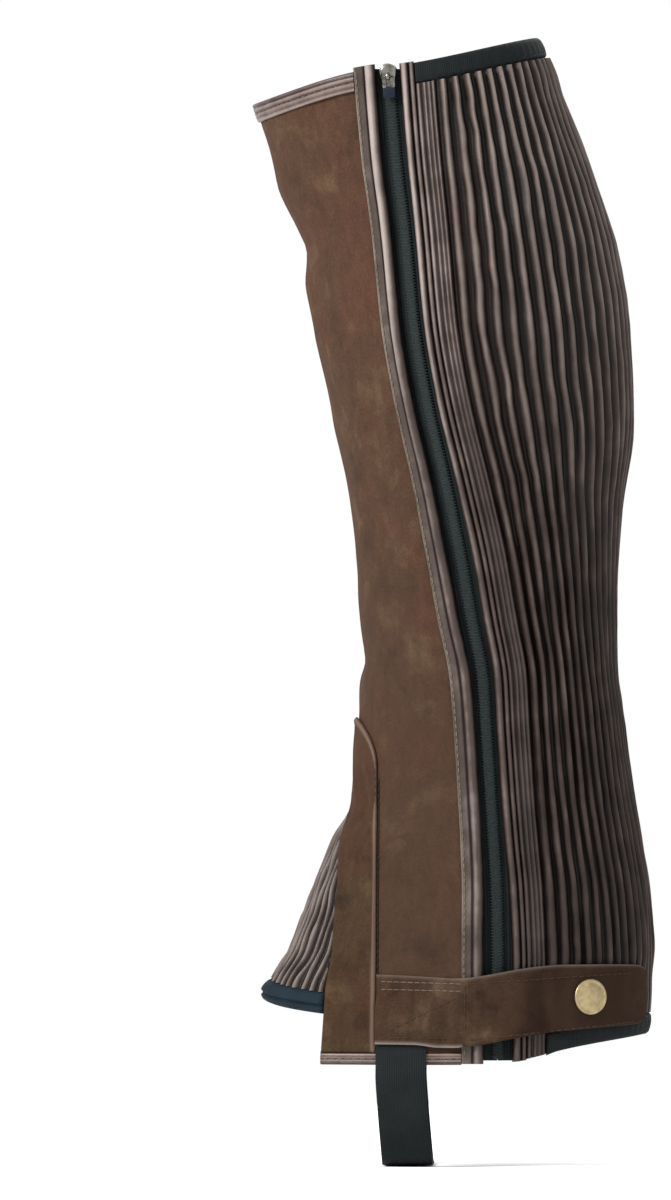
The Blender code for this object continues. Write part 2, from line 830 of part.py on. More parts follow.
def prism(outline, low, high):
    """Points and faces of an outline in the XY plane, raised between two levels."""
    size = len(outline)
    points = [(x, y, low) for x, y in outline] + [(x, y, high) for x, y in outline]
    faces = [list(range(size))[::-1], list(range(size, 2 * size))]
    faces += [[i, (i + 1) % size, (i + 1) % size + size, i + size] for i in range(size)]
    return points, faces


def join_solids(piece, others):
    """Unite hidden solids with a piece."""
    for other in others:
        modifier = piece.modifiers.new("join", "BOOLEAN")
        modifier.operation = "UNION"
        modifier.solver = "EXACT"
        modifier.object = other
        other.hide_render = True
        other.display_type = "WIRE"


def slider_outline():
    """Half-round shoulders at the top, narrowing to the neck where the closed coil leaves."""
    turns = [math.radians(a) for a in range(0, 181, 30)]
    shoulder = [(SLIDER_HALF_WIDTH * math.cos(a), SLIDER_HALF_LENGTH - SLIDER_SHOULDER * (1 - math.sin(a)))
                for a in turns]
    end, corner = -SLIDER_HALF_LENGTH, SLIDER_CHAMFER
    neck = [(-SLIDER_HALF_NECK, end + corner), (-SLIDER_HALF_NECK + corner, end),
            (SLIDER_HALF_NECK - corner, end), (SLIDER_HALF_NECK, end + corner)]
    return shoulder + neck


def slider():
    """Two plates either side of the tapes, the post between them and the bridge for the tab."""
    frame = zip_frame(SLIDER_HEIGHT, 0.0)
    front_top = PLATE_OUT + PLATE_THICK
    points, faces = prism(slider_outline(), PLATE_OUT, front_top)
    body = add_object("slider", points, faces, "steel", frame)

    back = add_object("guide_back", *prism(slider_outline(), BACK_PLATE_OUT, BACK_PLATE_OUT + PLATE_THICK),
                      "steel", frame)
    post_top = SLIDER_HALF_LENGTH - POST_INSET
    post = [(-POST_WIDTH / 2, post_top - POST_LENGTH), (POST_WIDTH / 2, post_top - POST_LENGTH),
            (POST_WIDTH / 2, post_top), (-POST_WIDTH / 2, post_top)]
    middle = add_object("guide_post", *prism(post, BACK_PLATE_OUT + SLIDER_SINK, PLATE_OUT + SLIDER_SINK),
                        "steel", frame)

    turns = [(math.cos(math.pi * i / BRIDGE_STEPS), math.sin(math.pi * i / BRIDGE_STEPS))
             for i in range(BRIDGE_STEPS + 1)]
    foot = front_top - HINGE_OUT - SLIDER_SINK
    hoop = [(BRIDGE_OUTER * x, BRIDGE_OUTER * y) for x, y in turns]
    hoop += [(-BRIDGE_OUTER, foot), (-BRIDGE_INNER, foot)]
    hoop += [(-BRIDGE_INNER * x, BRIDGE_INNER * y) for x, y in turns]
    hoop += [(BRIDGE_INNER, foot), (BRIDGE_OUTER, foot)]
    points, faces = prism(hoop, -BRIDGE_WIDTH / 2, BRIDGE_WIDTH / 2)
    upright = [(z, x, y) for x, y, z in points]
    bridge = add_object("guide_bridge", upright, faces, "steel", zip_frame(SLIDER_HEIGHT, HINGE_OUT))
    join_solids(body, (back, middle, bridge))


def pull_tab():
    """Flat tab whose crossbar turns under the slider's bridge."""
    width, hole = TAB_HALF_WIDTH, TAB_HOLE_HALF_WIDTH
    corner_x, corner_y = width - TAB_CORNER_WIDE, -TAB_LENGTH + TAB_CORNER_TALL
    outline = [(-width, TAB_BAR), (width, TAB_BAR), (width, corner_y), (corner_x, -TAB_LENGTH),
               (-corner_x, -TAB_LENGTH), (-width, corner_y)]
    frame = zip_frame(SLIDER_HEIGHT, HINGE_OUT)
    tab = add_object("pull_tab", *prism(outline, -TAB_THICK / 2, TAB_THICK / 2), "black_tab", frame)
    slot = [(-hole, -TAB_BAR), (hole, -TAB_BAR), (hole, -TAB_HOLE_LENGTH), (-hole, -TAB_HOLE_LENGTH)]
    cutter = add_object("guide_slot", *prism(slot, -TAB_THICK, TAB_THICK), "black_tab", frame)
    modifier = tab.modifiers.new("slot", "BOOLEAN")
    modifier.operation = "DIFFERENCE"
    modifier.solver = "EXACT"
    modifier.object = cutter
    cutter.hide_render = True
    cutter.display_type = "WIRE"


# Strap, snap and stirrup


def strap_lift(angle, height):
    """Space under the strap, which also rises over the end of the stirrup."""
    top, _, lift = strap.at(angle)
    low = ease((top - STIRRUP_END_BELOW - height) / STIRRUP_END_RISE)
    over_stirrup = ON_PANEL + STIRRUP_THICK + 2 * SEAM
    near_stirrup = low * (1 - ease((angle - STIRRUP_REAR) / STIRRUP_REAR_FALL))
    return max(lift, lift + (over_stirrup - lift) * near_stirrup)


def snap_strap():
    """Suede strap from the overlay over the zip to the snap at the back."""
    first, last = STRAP[0].angle, STRAP[-1].angle

    def spot(down, across):
        angle = first + (last - first) * across
        for _ in range(3):
            top, bottom = strap.at(angle)[:2]
            height = top + (bottom - top) * down
            start = walk(overlay_rear(height), height, SEAM)
            angle = start + (last - start) * across
        return angle, height

    spots = {(r, c): spot(r / STRAP_ROWS, c / STRAP_COLUMNS)
             for r in range(STRAP_ROWS + 1) for c in range(STRAP_COLUMNS + 1)}
    wall("snap_strap", grid_quads(STRAP_ROWS, STRAP_COLUMNS), spots,
         lambda key: strap_lift(*spots[key]), lambda key: strap_lift(*spots[key]) + OVERLAY, "dark_suede")


def turned(name, profile, frame, finish):
    """A round piece about its frame's Z axis, with a flat base."""
    points, faces = [], []
    for row in profile:
        if row.radius == 0:
            points.append((0, 0, row.out))
            continue
        points += [(row.radius * math.cos(2 * math.pi * i / SNAP_STEPS),
                    row.radius * math.sin(2 * math.pi * i / SNAP_STEPS), row.out) for i in range(SNAP_STEPS)]
    rings = len(profile) - 2
    last = 1 + (rings - 1) * SNAP_STEPS
    for i in range(SNAP_STEPS):
        after = (i + 1) % SNAP_STEPS
        faces.append([0, 1 + i, 1 + after])
        faces.append([len(points) - 1, last + i, last + after])
        for ring in range(rings - 1):
            low, high = 1 + ring * SNAP_STEPS, 1 + (ring + 1) * SNAP_STEPS
            faces.append([low + i, low + after, high + after, high + i])
    return add_object(name, points, faces, finish, frame)


def snap():
    """Domed cap on the strap, and the socket and stud that hold it to the calf panel."""
    angle = outer_angle(SNAP_HEIGHT, SNAP_X, SNAP_LIFT + OVERLAY)
    _, outward, _ = form_frame(angle, SNAP_HEIGHT)
    across = Vector((0, 0, 1)).cross(outward)

    def frame(out):
        placed = Matrix((across, Vector((0, 0, 1)), outward)).transposed().to_4x4()
        placed.translation = form_point(angle, SNAP_HEIGHT, out) * MM
        return placed

    lift = strap_lift(angle, SNAP_HEIGHT)
    turned("snap_cap", SNAP_CAP, frame(lift + OVERLAY + SEAM), "brass")
    turned("snap_socket", SNAP_SOCKET, frame(lift - 2 * SEAM - SOCKET_THICK), "brass")
    turned("snap_stud", SNAP_STUD, frame(RIB_PRESSED + SEAM), "brass")


def stirrup():
    """Elastic band, tucked under the strap outside and behind the hem inside."""

    def across(height, side):
        start = walk(overlay_rear(height), height, SEAM)
        end = walk(start, height, STIRRUP_WIDTH)
        return [side * angle for angle in blend(start, end, 2)]

    def half(tuck, side):
        rows = [[form_point(angle, row.height, row.out) for angle in across(row.height, side)]
                for row in tuck]
        hem = rows[-1]
        rows += [[Vector((point.x + row.shift, point.y * row.reach, row.height)) for point in hem]
                 for row in STIRRUP_LOOP]
        return rows

    outer, inner = half(OUTER_TUCK, 1), half(INNER_TUCK, -1)
    lowest = outer[-1], inner[-1]
    foot = [(a + b) / 2 for a, b in zip(*lowest)]
    rows = outer + [foot] + inner[::-1]
    half_thick = STIRRUP_THICK / 2
    points = []
    for i, row in enumerate(rows):
        before, after = rows[max(i - 1, 0)], rows[min(i + 1, len(rows) - 1)]
        for k, point in enumerate(row):
            along = after[k] - before[k]
            away = Vector((0, along.z, -along.y)).normalized() * half_thick
            points += [point + away, point - away]
    ring = (0, 2, 4, 5, 3, 1)
    size = len(ring)
    faces = []
    for i in range(len(rows) - 1):
        near, far = i * size, (i + 1) * size
        for a, b in zip(ring, ring[1:] + ring[:1]):
            faces.append([near + a, near + b, far + b, far + a])
    faces.append(list(ring))
    faces.append([len(points) - size + k for k in ring])
    add_object("stirrup", points, faces, "elastic")


def main():
    for existing in list(bpy.data.objects):
        bpy.data.objects.remove(existing, do_unlink=True)
    shin_panel()
    lower_overlay()
    edge_bindings()
    calf_panel()
    instep_panel()
    elastic_edges()
    zip_bindings()
    zip_tapes()
    zip_chain()
    slider()
    pull_tab()
    snap_strap()
    snap()
    stirrup()


main()
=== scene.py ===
"""Half chap for the left leg, dressed in suede, gathered leather and elastic.

Lengths are millimetres until a mesh is written. +X is the back of the leg, and -Y its outer side.
Angles go round the leg in degrees: 0 at the shin, 90 on the outer side, 180 at the back, and below 0
or past 180 on the inner side.
"""

import math

import bmesh
import bpy
import numpy as np
from mathutils import Matrix, Vector


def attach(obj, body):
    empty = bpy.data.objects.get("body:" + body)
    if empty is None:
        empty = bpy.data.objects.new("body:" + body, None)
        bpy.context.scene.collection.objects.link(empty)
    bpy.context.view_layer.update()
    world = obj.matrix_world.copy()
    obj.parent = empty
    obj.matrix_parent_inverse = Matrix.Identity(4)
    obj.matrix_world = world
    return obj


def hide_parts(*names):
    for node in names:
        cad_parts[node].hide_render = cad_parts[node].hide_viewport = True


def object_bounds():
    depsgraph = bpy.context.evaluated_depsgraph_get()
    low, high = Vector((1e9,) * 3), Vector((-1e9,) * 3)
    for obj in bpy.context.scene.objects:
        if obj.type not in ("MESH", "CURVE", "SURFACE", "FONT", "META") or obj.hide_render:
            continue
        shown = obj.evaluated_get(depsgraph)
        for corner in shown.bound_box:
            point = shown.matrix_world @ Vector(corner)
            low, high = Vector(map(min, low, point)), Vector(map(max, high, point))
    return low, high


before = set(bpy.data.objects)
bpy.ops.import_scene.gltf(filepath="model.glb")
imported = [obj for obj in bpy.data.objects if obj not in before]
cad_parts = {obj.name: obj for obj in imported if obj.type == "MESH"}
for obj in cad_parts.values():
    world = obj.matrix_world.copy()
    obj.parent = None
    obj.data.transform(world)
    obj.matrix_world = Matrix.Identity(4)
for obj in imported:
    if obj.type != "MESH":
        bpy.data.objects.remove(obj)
cad_box = [list(corner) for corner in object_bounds()]

# A millimetre in metres, then clearances, thicknesses, widths and seams in millimetres and degrees
MM = 0.001
SEAM = 0.3
TOUCH = 0.02
SUEDE = 1.6
ON_PANEL = SUEDE + SEAM
OVERLAY = 1.5
BINDING = 0.9
ELASTIC_BAND = 9.0
REAR_BINDING_WIDTH = 14.0
FRONT_BINDING_WIDTH = 8.8
FRONT_BINDING_OVERHANG = 1.5
PIPING_WIDTH = 5.6
SEAM_ANGLE = -145.0
ARCH_TOP = -174.0
OVERLAY_REAR_X = -44.6
# Width over which an edge's tone fades, and shares of the thickness that round the faces of a cut edge
EDGE_FADE, OUTER_ROUNDING, INNER_ROUNDING = 1.2, 0.45, 0.18
# Large factors without a common measure, which scatter the noise
SCATTER_X, SCATTER_Y, SCATTER_SEED, SCATTER = 127.1, 311.7, 74.7, 43758.5453
# Rounds of correction for points that have to meet a line or lie moved out
MEET_ROUNDS, MOVED_ROUNDS = 7, 3

# Curves through tables, for whole arrays of points


class Curve:
    """Smooth curves through a table's columns, which never overshoot a row."""

    def __init__(self, *rows):
        table = np.array(sorted(rows), float)
        self.place, self.values = table[:, 0], table[:, 1:]
        step = np.diff(self.values, axis=0) / np.diff(self.place)[:, None]
        before, after = step[:-1], step[1:]
        same_way = before * after > 0
        self.slope = np.zeros_like(self.values)
        self.slope[0], self.slope[-1] = step[0], step[-1]
        self.slope[1:-1] = 2 * before * after * same_way / np.where(same_way, before + after, 1)

    def at(self, place):
        place = np.clip(place, self.place[0], self.place[-1])
        i = np.clip(np.searchsorted(self.place, place) - 1, 0, len(self.place) - 2)
        span = (self.place[i + 1] - self.place[i])[..., None]
        t = (place - self.place[i])[..., None] / span
        start, end = self.values[i], self.values[i + 1]
        a, b = self.slope[i] * span, self.slope[i + 1] * span
        bend, sweep = 2 * start + a - 2 * end + b, 3 * end - 3 * start - 2 * a - b
        return np.moveaxis(((bend * t + sweep) * t + a) * t + start, -1, 0)


# height, front, back, half width, egg: inner face of the walls
form = Curve(
    (150, -107.5, 20.5, 55.0, 0.04), (117, -93.4, 32.6, 56.0, 0.05), (85, -82.6, 45.0, 57.5, 0.06),
    (55, -72.6, 54.4, 58.5, 0.06), (25, -69.0, 59.0, 58.5, 0.06), (-15, -60.6, 60.8, 56.5, 0.05),
    (-53, -52.7, 56.1, 52.0, 0.03), (-90, -50.0, 53.9, 47.0, 0.0), (-117, -48.6, 53.9, 44.5, 0.0),
    (-140, -49.6, 56.6, 44.5, 0.0), (-174, -51.2, 61.3, 46.0, 0.02), (-193, -60.2, 64.6, 47.0, 0.04),
    (-215, -69.0, 68.0, 48.0, 0.06), (-237, -77.6, 69.4, 48.5, 0.08), (-255, -87.6, 69.6, 48.5, 0.09),
    (-286, -94.0, 66.0, 48.5, 0.10),
)
# x, height
top_line = Curve((-110, 112), (-95, 116.5), (-53, 129.6), (-28, 133.4), (23, 145), (45, 150))
hem_line = Curve((-110, -285.6), (0, -285.4), (14, -284.4), (24, -282.4), (32, -279.6), (67, -273.2))
# height, middle of the zip, open width
zip_line = Curve(
    (140, -40.0, 10.2), (94, -35.9, 10.3), (64, -32.2, 9.8), (22, -28.0, 9.6), (-7, -23.0, 9.6),
    (-43, -14.8, 9.8), (-72, -8.9, 10.4), (-100, -3.9, 10.0), (-123, 0.4, 9.2), (-146, 2.0, 8.6),
    (-169, 3.5, 8.8), (-192, 5.0, 9.4), (-215, 6.3, 10.8), (-244, 6.7, 12.2), (-286, 6.7, 12.2),
)
# height, half angle of the instep cut-out
arch = Curve(
    (ARCH_TOP, 0), (-183.5, 10), (-197, 21.5), (-212, 30.5), (-228, 36), (-240, 40.5),
    (-251, 44.5), (-262, 46.5), (-286, 49),
)
# angle, top, bottom, space under the strap
strap = Curve(
    (60, -247.6, -276.6, 1.9), (66, -247.8, -276.8, 1.9), (79, -248.6, -277.0, 1.9),
    (87, -249.2, -278.2, 2.6), (91, -249.0, -278.2, 4.8), (97, -247.8, -277.4, 5.2),
    (107, -245.2, -274.6, 5.3), (113, -244.2, -273.2, 4.6), (120, -243.6, -271.8, 3.3),
    (126, -243.5, -271.0, 4.9), (134, -243.5, -270.2, 5.2), (142, -243.6, -269.6, 4.6),
    (152, -243.8, -269.0, 3.9), (158, -245.0, -268.2, 3.7), (161, -249.0, -264.5, 3.6),
)


def ease(t):
    t = np.clip(t, 0.0, 1.0)
    return t * t * (3 - 2 * t)


def noise(x, y, seed):
    """Smooth uneven values between -1 and 1."""
    col, row = np.floor(x), np.floor(y)

    def corner(a, b):
        mixed = np.sin(a * SCATTER_X + b * SCATTER_Y + seed * SCATTER_SEED) * SCATTER
        return 2 * (mixed - np.floor(mixed)) - 1

    across, down = ease(x - col), ease(y - row)
    upper = corner(col, row) * (1 - across) + corner(col + 1, row) * across
    lower = corner(col, row + 1) * (1 - across) + corner(col + 1, row + 1) * across
    return upper * (1 - down) + lower * down


# The leg form and the lines that pieces meet on


def form_frame(angle, height):
    """Points on the form, their level outward directions, and millimetres per degree there."""
    angle, height = np.broadcast_arrays(angle, height)
    front, back, half_width, egg = form.at(height)
    a = np.radians(angle)
    cosine, sine = np.cos(a), np.sin(a)
    middle, reach = (front + back) / 2, (back - front) / 2
    along_x = reach * sine
    along_y = -half_width * (cosine * (1 - egg * cosine) + egg * sine * sine)
    length = np.hypot(along_x, along_y)
    point = np.stack((middle - reach * cosine, -half_width * sine * (1 - egg * cosine), height), -1)
    outward = np.stack((along_y / length, -along_x / length, np.zeros_like(length)), -1)
    return point, outward, np.radians(length)


def form_point(angle, height, out=0.0):
    point, outward, _ = form_frame(angle, height)
    return point + outward * np.asarray(out)[..., None]


def walk(angle, height, distance):
    """The angle that lies a distance further round the form."""
    halfway = angle + distance / 2 / form_frame(angle, height)[2]
    return angle + distance / form_frame(halfway, height)[2]


def offset(line, distance):
    return lambda height: walk(line(height), height, distance)


def outer_angle(height, x, out=0.0):
    """Angles of the outer side's points with an x, on the form or moved out from it."""
    front, back, _, _ = form.at(height)
    middle, reach = (front + back) / 2, (back - front) / 2
    angle = np.degrees(np.arccos(np.clip((middle - x) / reach, -1, 1)))
    for _ in range(MOVED_ROUNDS if np.any(out) else 0):
        moved = x - out * form_frame(angle, height)[1][..., 0]
        angle = np.degrees(np.arccos(np.clip((middle - moved) / reach, -1, 1)))
    return angle


def meet(line, column, above=0.0):
    """Heights where a column of points meets a line, or that far above it."""
    height = line.values[0, 0]
    for _ in range(MEET_ROUNDS):
        height = line.at(form_point(column(height), height)[..., 0])[0] + above
    return height


def between(start, end, part):
    return lambda height: start(height) + (end(height) - start(height)) * part


def down_to_hem(column, part, top_gap, foot_gap):
    """Heights down a column of points, from a gap under the top line to a gap over the hem."""
    top, foot = meet(top_line, column, -top_gap), meet(hem_line, column, foot_gap)
    return top + (foot - top) * part


def zip_side(side):
    """The zip's middle for side 0, its front edge for -1 and its rear edge for 1."""
    def line(height):
        centre, gap = zip_line.at(height)
        return outer_angle(height, centre + side * gap / 2)
    return line


def inner_seam(height):
    return walk(SEAM_ANGLE, height, SEAM / 2)


def calf_seam(height):
    return 360 + walk(SEAM_ANGLE, height, -SEAM / 2)


def arch_angle(height, side):
    """Half angle of the instep cut-out, at the shin's edge for side 1 and the insert's for -1."""
    return np.where(np.asarray(height) >= ARCH_TOP, 0.0, walk(arch.at(height)[0], height, side * SEAM / 2))


def arch_line(side):
    """The shin's edge round the instep cut-out, on the outer side for 1 and the inner side for -1."""
    return lambda height: side * arch_angle(height, 1)


def overlay_rear(height):
    return outer_angle(height, OVERLAY_REAR_X, ON_PANEL + OVERLAY)


zip_middle, zip_front, zip_rear = zip_side(0), zip_side(-1), zip_side(1)
shin_edge = offset(zip_front, -FRONT_BINDING_OVERHANG)
calf_edge = offset(zip_rear, REAR_BINDING_WIDTH + SEAM)
beside_zip = offset(zip_front, -FRONT_BINDING_WIDTH - SEAM)

# Meshes


def add_object(name, data):
    made = bpy.data.objects.new(name, data)
    bpy.context.collection.objects.link(made)
    return made


def new_piece(name, points, faces, look, node=None, uv=None, tone=None, body="chap", sharp=50):
    """A smooth-shaded piece that rides on a body and may stand for a CAD node."""
    mesh = bpy.data.meshes.new(name)
    mesh.from_pydata(np.array(points) * MM, [], faces)
    build = bmesh.new()
    build.from_mesh(mesh)
    bmesh.ops.recalc_face_normals(build, faces=build.faces)
    build.to_mesh(mesh)
    build.free()
    if uv is not None:
        corner = np.empty(len(mesh.loops), int)
        mesh.loops.foreach_get("vertex_index", corner)
        mesh.uv_layers.new(name="cut").data.foreach_set("uv", (uv * MM)[corner].ravel())
    if tone is not None:
        mesh.attributes.new("tone", "FLOAT", "POINT").data.foreach_set("value", tone)
    mesh.shade_smooth()
    mesh.set_sharp_from_angle(angle=math.radians(sharp))
    mesh.materials.append(look.material)
    piece = add_object(name, mesh)
    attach(piece, body)
    if node:
        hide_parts(node)
    return piece


def wall(name, quads, angle, height, low, high, look, node, uv=None, tone=0.0, lining=0.0):
    """A thin wall over quads of points, closed round its edges. Its inner face has the lining's tone."""
    count = len(angle)
    points = np.vstack((form_point(angle, height, high), form_point(angle, height, low)))
    edges = np.vstack([quads[:, (i, (i + 1) % 4)] for i in range(4)])
    key = edges[:, 0] * count + edges[:, 1]
    open_edges = edges[~np.isin(key, edges[:, 1] * count + edges[:, 0])]
    rims = np.column_stack((open_edges[:, ::-1], open_edges + count))
    faces = np.vstack((quads, quads[:, ::-1] + count, rims)).tolist()
    uv = None if uv is None else np.tile(uv, (2, 1))
    tone = np.concatenate((np.broadcast_to(tone, count), np.full(count, lining)))
    return new_piece(name, points, faces, look, node, uv, tone)


def grid_quads(rows, columns):
    corner = np.arange(rows - 1)[:, None] * columns + np.arange(columns - 1)
    return np.stack((corner, corner + columns, corner + columns + 1, corner + 1), -1).reshape(-1, 4)


def ring_faces(count, size):
    """Quads between closed rings of points, and a cap on each end."""
    ring, corner = np.arange(size), np.arange(count - 1)[:, None] * size
    after = (ring + 1) % size
    quads = np.stack((corner + ring, corner + after, corner + size + after, corner + size + ring), -1)
    return quads.reshape(-1, 4).tolist() + [ring[::-1].tolist(), (ring + (count - 1) * size).tolist()]


def lengths(points):
    """Running lengths across and down a grid of points."""
    across = np.linalg.norm(np.diff(points, axis=1), axis=-1).cumsum(1)
    down = np.linalg.norm(np.diff(points, axis=0), axis=-1).cumsum(0)
    return np.stack((np.pad(across, ((0, 0), (1, 0))), np.pad(down, ((1, 0), (0, 0)))), -1)


def spread(count, width):
    """Even steps from 0 to 1, with close ones at both ends for a soft cut edge."""
    near = np.array((0.0, 0.35, 1.0)) / width
    even = np.linspace(near[-1], 1 - near[-1], count + 1)[1:-1]
    return np.concatenate((near, even, 1 - near[::-1]))


def rounding(across, down, width, height):
    """1 on the rim of a piece of about that size, fading to 0 in a millimetre."""
    inside = np.minimum(np.minimum(across, 1 - across) * width, np.minimum(down, 1 - down) * height)
    return (1 - np.clip(inside, 0, 1)) ** 2


def near_edge(part, width):
    """1 on the edge where part is 1, fading to 0 over the edge's fade."""
    return np.clip(1 - (1 - part) * width / EDGE_FADE, 0, 1)


def full_grid(name, angle, height, low, high, look, node, tone=0.0, lining=0.0):
    """A wall over a full grid of points, with lengths along it as its UV map."""
    grids = np.broadcast_arrays(angle, height, low, high, tone)
    uv = lengths(form_point(grids[0], grids[1], grids[3])).reshape(-1, 2)
    angle, height, low, high, tone = (grid.ravel() for grid in grids)
    return wall(name, grid_quads(*grids[0].shape), angle, height, low, high, look, node, uv, tone, lining)


def grid_wall(name, size, steps, spot, low, high, look, node, tone=0.0):
    """A wall with rounded rims over a grid. spot gives angles and heights, low and high how far out
    its faces lie, and size is its rough width and height. low, high and tone may be numbers."""
    across, down = np.meshgrid(spread(steps[0], size[0]), spread(steps[1], size[1]))
    angle, height = np.broadcast_arrays(*spot(down, across))
    low, high, tone = (value(down, across, angle, height) if callable(value) else value
                       for value in (low, high, tone))
    soft = rounding(across, down, *size) * (high - low)
    low, high = low + INNER_ROUNDING * soft, high - OUTER_ROUNDING * soft
    return full_grid(name, angle, height, low, high, look, node, tone)


def soft_curve(points, steps):
    """A soft curve through all but the first and the last of the points, which may be whole rows."""
    made = []
    for a, b, c, d in zip(points, points[1:], points[2:], points[3:]):
        for t in np.arange(steps) / steps:
            made.append(0.5 * (2 * b + (c - a) * t + (2 * a - 5 * b + 4 * c - d) * t ** 2
                               + (3 * b - a - 3 * c + d) * t ** 3))
    return np.array(made)


def strip(name, rings, look, node, tone, sharp):
    """A closed strip through rings of points."""
    size = rings.shape[:2]
    return new_piece(name, rings.reshape(-1, 3), ring_faces(*size), look, node, lengths(rings).reshape(-1, 2),
                     np.broadcast_to(tone, size).ravel(), sharp=sharp)


def unit(vectors):
    return vectors / np.linalg.norm(vectors, axis=-1, keepdims=True)


# Soft creases and ridges: x and height of both ends, side, width and depth. Side 1 is the outer
# side of the leg, -1 the inner side, and a negative depth is a trough.


def creases(table, angle, height):
    out = np.zeros(np.shape(angle))
    for x0, z0, x1, z1, side, width, depth in table:
        a0, a1 = side * outer_angle(z0, x0), side * outer_angle(z1, x1)
        run_a, run_z = a1 - a0, z1 - z0
        along = np.clip(((angle - a0) * run_a + (height - z0) * run_z) / (run_a ** 2 + run_z ** 2), 0, 1)
        away = (angle - a0 - run_a * along) ** 2 + (height - z0 - run_z * along) ** 2
        out = out + depth * np.exp(-away / width ** 2) * np.sin(np.pi * (0.12 + 0.76 * along))
    return out


# Materials


class Shader:
    """A material's nodes, added one by one, and the slot of the pieces that wear it, which is kept but not
    used.
    """

    def __init__(self, name, slot, **sockets):
        self.material = bpy.data.materials.new(name)
        self.material.use_nodes = True
        self.slot = slot
        self.tree = self.material.node_tree
        self.principled = self.tree.nodes["Principled BSDF"]
        for socket, value in sockets.items():
            self.principled.inputs[socket.replace("_", " ")].default_value = value

    def add(self, kind, inputs, **settings):
        made = self.tree.nodes.new("ShaderNode" + kind)
        for setting, value in settings.items():
            setattr(made, setting, value)
        for key, value in inputs.items():
            if isinstance(value, bpy.types.NodeSocket):
                self.tree.links.new(value, made.inputs[key])
            else:
                made.inputs[key].default_value = value
        return made

    def set(self, socket, value):
        self.tree.links.new(value, self.principled.inputs[socket])

    def place(self, stretch=(1, 1, 1)):
        coordinates = self.add("TexCoord", {})
        return self.add("Mapping", {"Vector": coordinates.outputs["Object"], "Scale": stretch}).outputs[0]

    def noise(self, scale, detail=2.0, roughness=0.5, distortion=0.0, stretch=(1, 1, 1)):
        return self.add("TexNoise", {"Vector": self.place(stretch), "Scale": scale, "Detail": detail,
                                     "Roughness": roughness, "Distortion": distortion}).outputs[0]

    def ramp(self, factor, *stops):
        made = self.add("ValToRGB", {0: factor})
        ramp = made.color_ramp
        while len(ramp.elements) < len(stops):
            ramp.elements.new(0.5)
        for element, (position, color) in zip(ramp.elements, stops):
            element.position = position
            element.color = (*color, 1) if hasattr(color, "__len__") else (color, color, color, 1)
        return made.outputs[0]

    def mix(self, factor, first, second, blend="MIX"):
        first, second = (value if isinstance(value, bpy.types.NodeSocket) else (*value, 1)
                         for value in (first, second))
        inputs = {0: factor, 6: first, 7: second}
        return self.add("Mix", inputs, data_type="RGBA", blend_type=blend).outputs[2]

    def math(self, operation, *values):
        return self.add("Math", dict(enumerate(values)), operation=operation).outputs[0]

    def tone(self):
        return self.add("Attribute", {}, attribute_name="tone").outputs["Fac"]

    def finish(self, colour, *layers):
        """Colour, and bump from (height, distance in metres, strength) layers, the coarsest first."""
        self.set("Base Color", colour)
        inputs = {}
        for height, distance, strength in layers:
            inputs.update({"Height": height, "Distance": distance, "Strength": strength})
            inputs["Normal"] = self.add("Bump", inputs).outputs[0]
        self.set("Normal", inputs["Normal"])
        return self


def suede(name, slot, base, light, red, dark, edge, toward, shaded):
    """Brushed suede: cloudy patches, faint brushing up and down, a short nap and paler cut edges, whose edge
    colour is partly their own and partly a painted highlight.
    It is painted darker along toward, by the shaded share at most, as painted shade."""
    shader = Shader(name, slot, Roughness=0.95, Sheen_Weight=0.04, Sheen_Roughness=0.5,
                    Sheen_Tint=(0.62, 0.45, 0.36, 1), Specular_IOR_Level=0.06)
    clouds = shader.noise(62, 4, 0.62, 0.3)
    patches = shader.noise(30, 3, 0.55, 0.4, (1, 1, 0.7))
    brushed = shader.noise(260, 3, 0.6, stretch=(1, 1, 0.3))
    nap = shader.noise(1100, 3, 0.7)
    colour = shader.ramp(clouds, (0.28, dark), (0.46, base), (0.54, base), (0.76, light))
    colour = shader.mix(shader.ramp(patches, (0.46, 0.0), (0.72, 0.6)), colour, red)
    colour = shader.mix(0.5, colour, shader.ramp(brushed, (0.3, 0.38), (0.7, 0.64)), "OVERLAY")
    colour = shader.mix(0.6, colour, shader.ramp(nap, (0.3, 0.32), (0.7, 0.68)), "OVERLAY")
    # Painted shade: darker along toward, by the shaded share at most
    far = shader.add("VectorMath", {0: shader.place(), 1: toward}, operation="DOT_PRODUCT").outputs["Value"]
    colour = shader.mix(shader.ramp(far, (0.05, 0.0), (0.45, shaded)), colour, dark)
    # Cut edges painted paler by tone, partly their own colour and partly a painted highlight
    colour = shader.mix(shader.math("MULTIPLY", shader.tone(), 0.8), colour, edge)
    return shader.finish(colour, (clouds, 0.0016, 0.3), (brushed, 0.0006, 0.3), (nap, 0.0004, 0.5))


def leather(name, base, painted_highlight, deep, roughness, gloss, streaked=0.35):
    """Smooth leather: fine pebble grain, faint stretching, a painted highlight where tone is high and painted
    shade where it is low.
    """
    shader = Shader(name, "leather", Specular_IOR_Level=gloss)
    grain = shader.add("TexVoronoi", {"Vector": shader.place(), "Scale": 1500.0}, feature="F1").outputs[0]
    streaks = shader.noise(420, 3, 0.6, 0.3, (1, 1, 0.14))
    clouds = shader.noise(70, 3, 0.6)
    shade = shader.math("ADD", shader.tone(), shader.math("MULTIPLY_ADD", clouds, 0.5, -0.25))
    # Painted shade in the deep colour where tone is low, and a painted highlight where tone is high
    colour = shader.ramp(shade, (0.12, deep), (0.46, base), (0.95, painted_highlight))
    colour = shader.mix(streaked, colour, shader.ramp(streaks, (0.3, 0.3), (0.7, 0.7)), "OVERLAY")
    shader.set("Roughness", shader.math("MULTIPLY_ADD", streaks, 0.22, roughness - 0.11))
    return shader.finish(colour, (clouds, 0.0012, 0.2), (streaks, 0.0005, 0.35), (grain, 0.0002, 0.3))


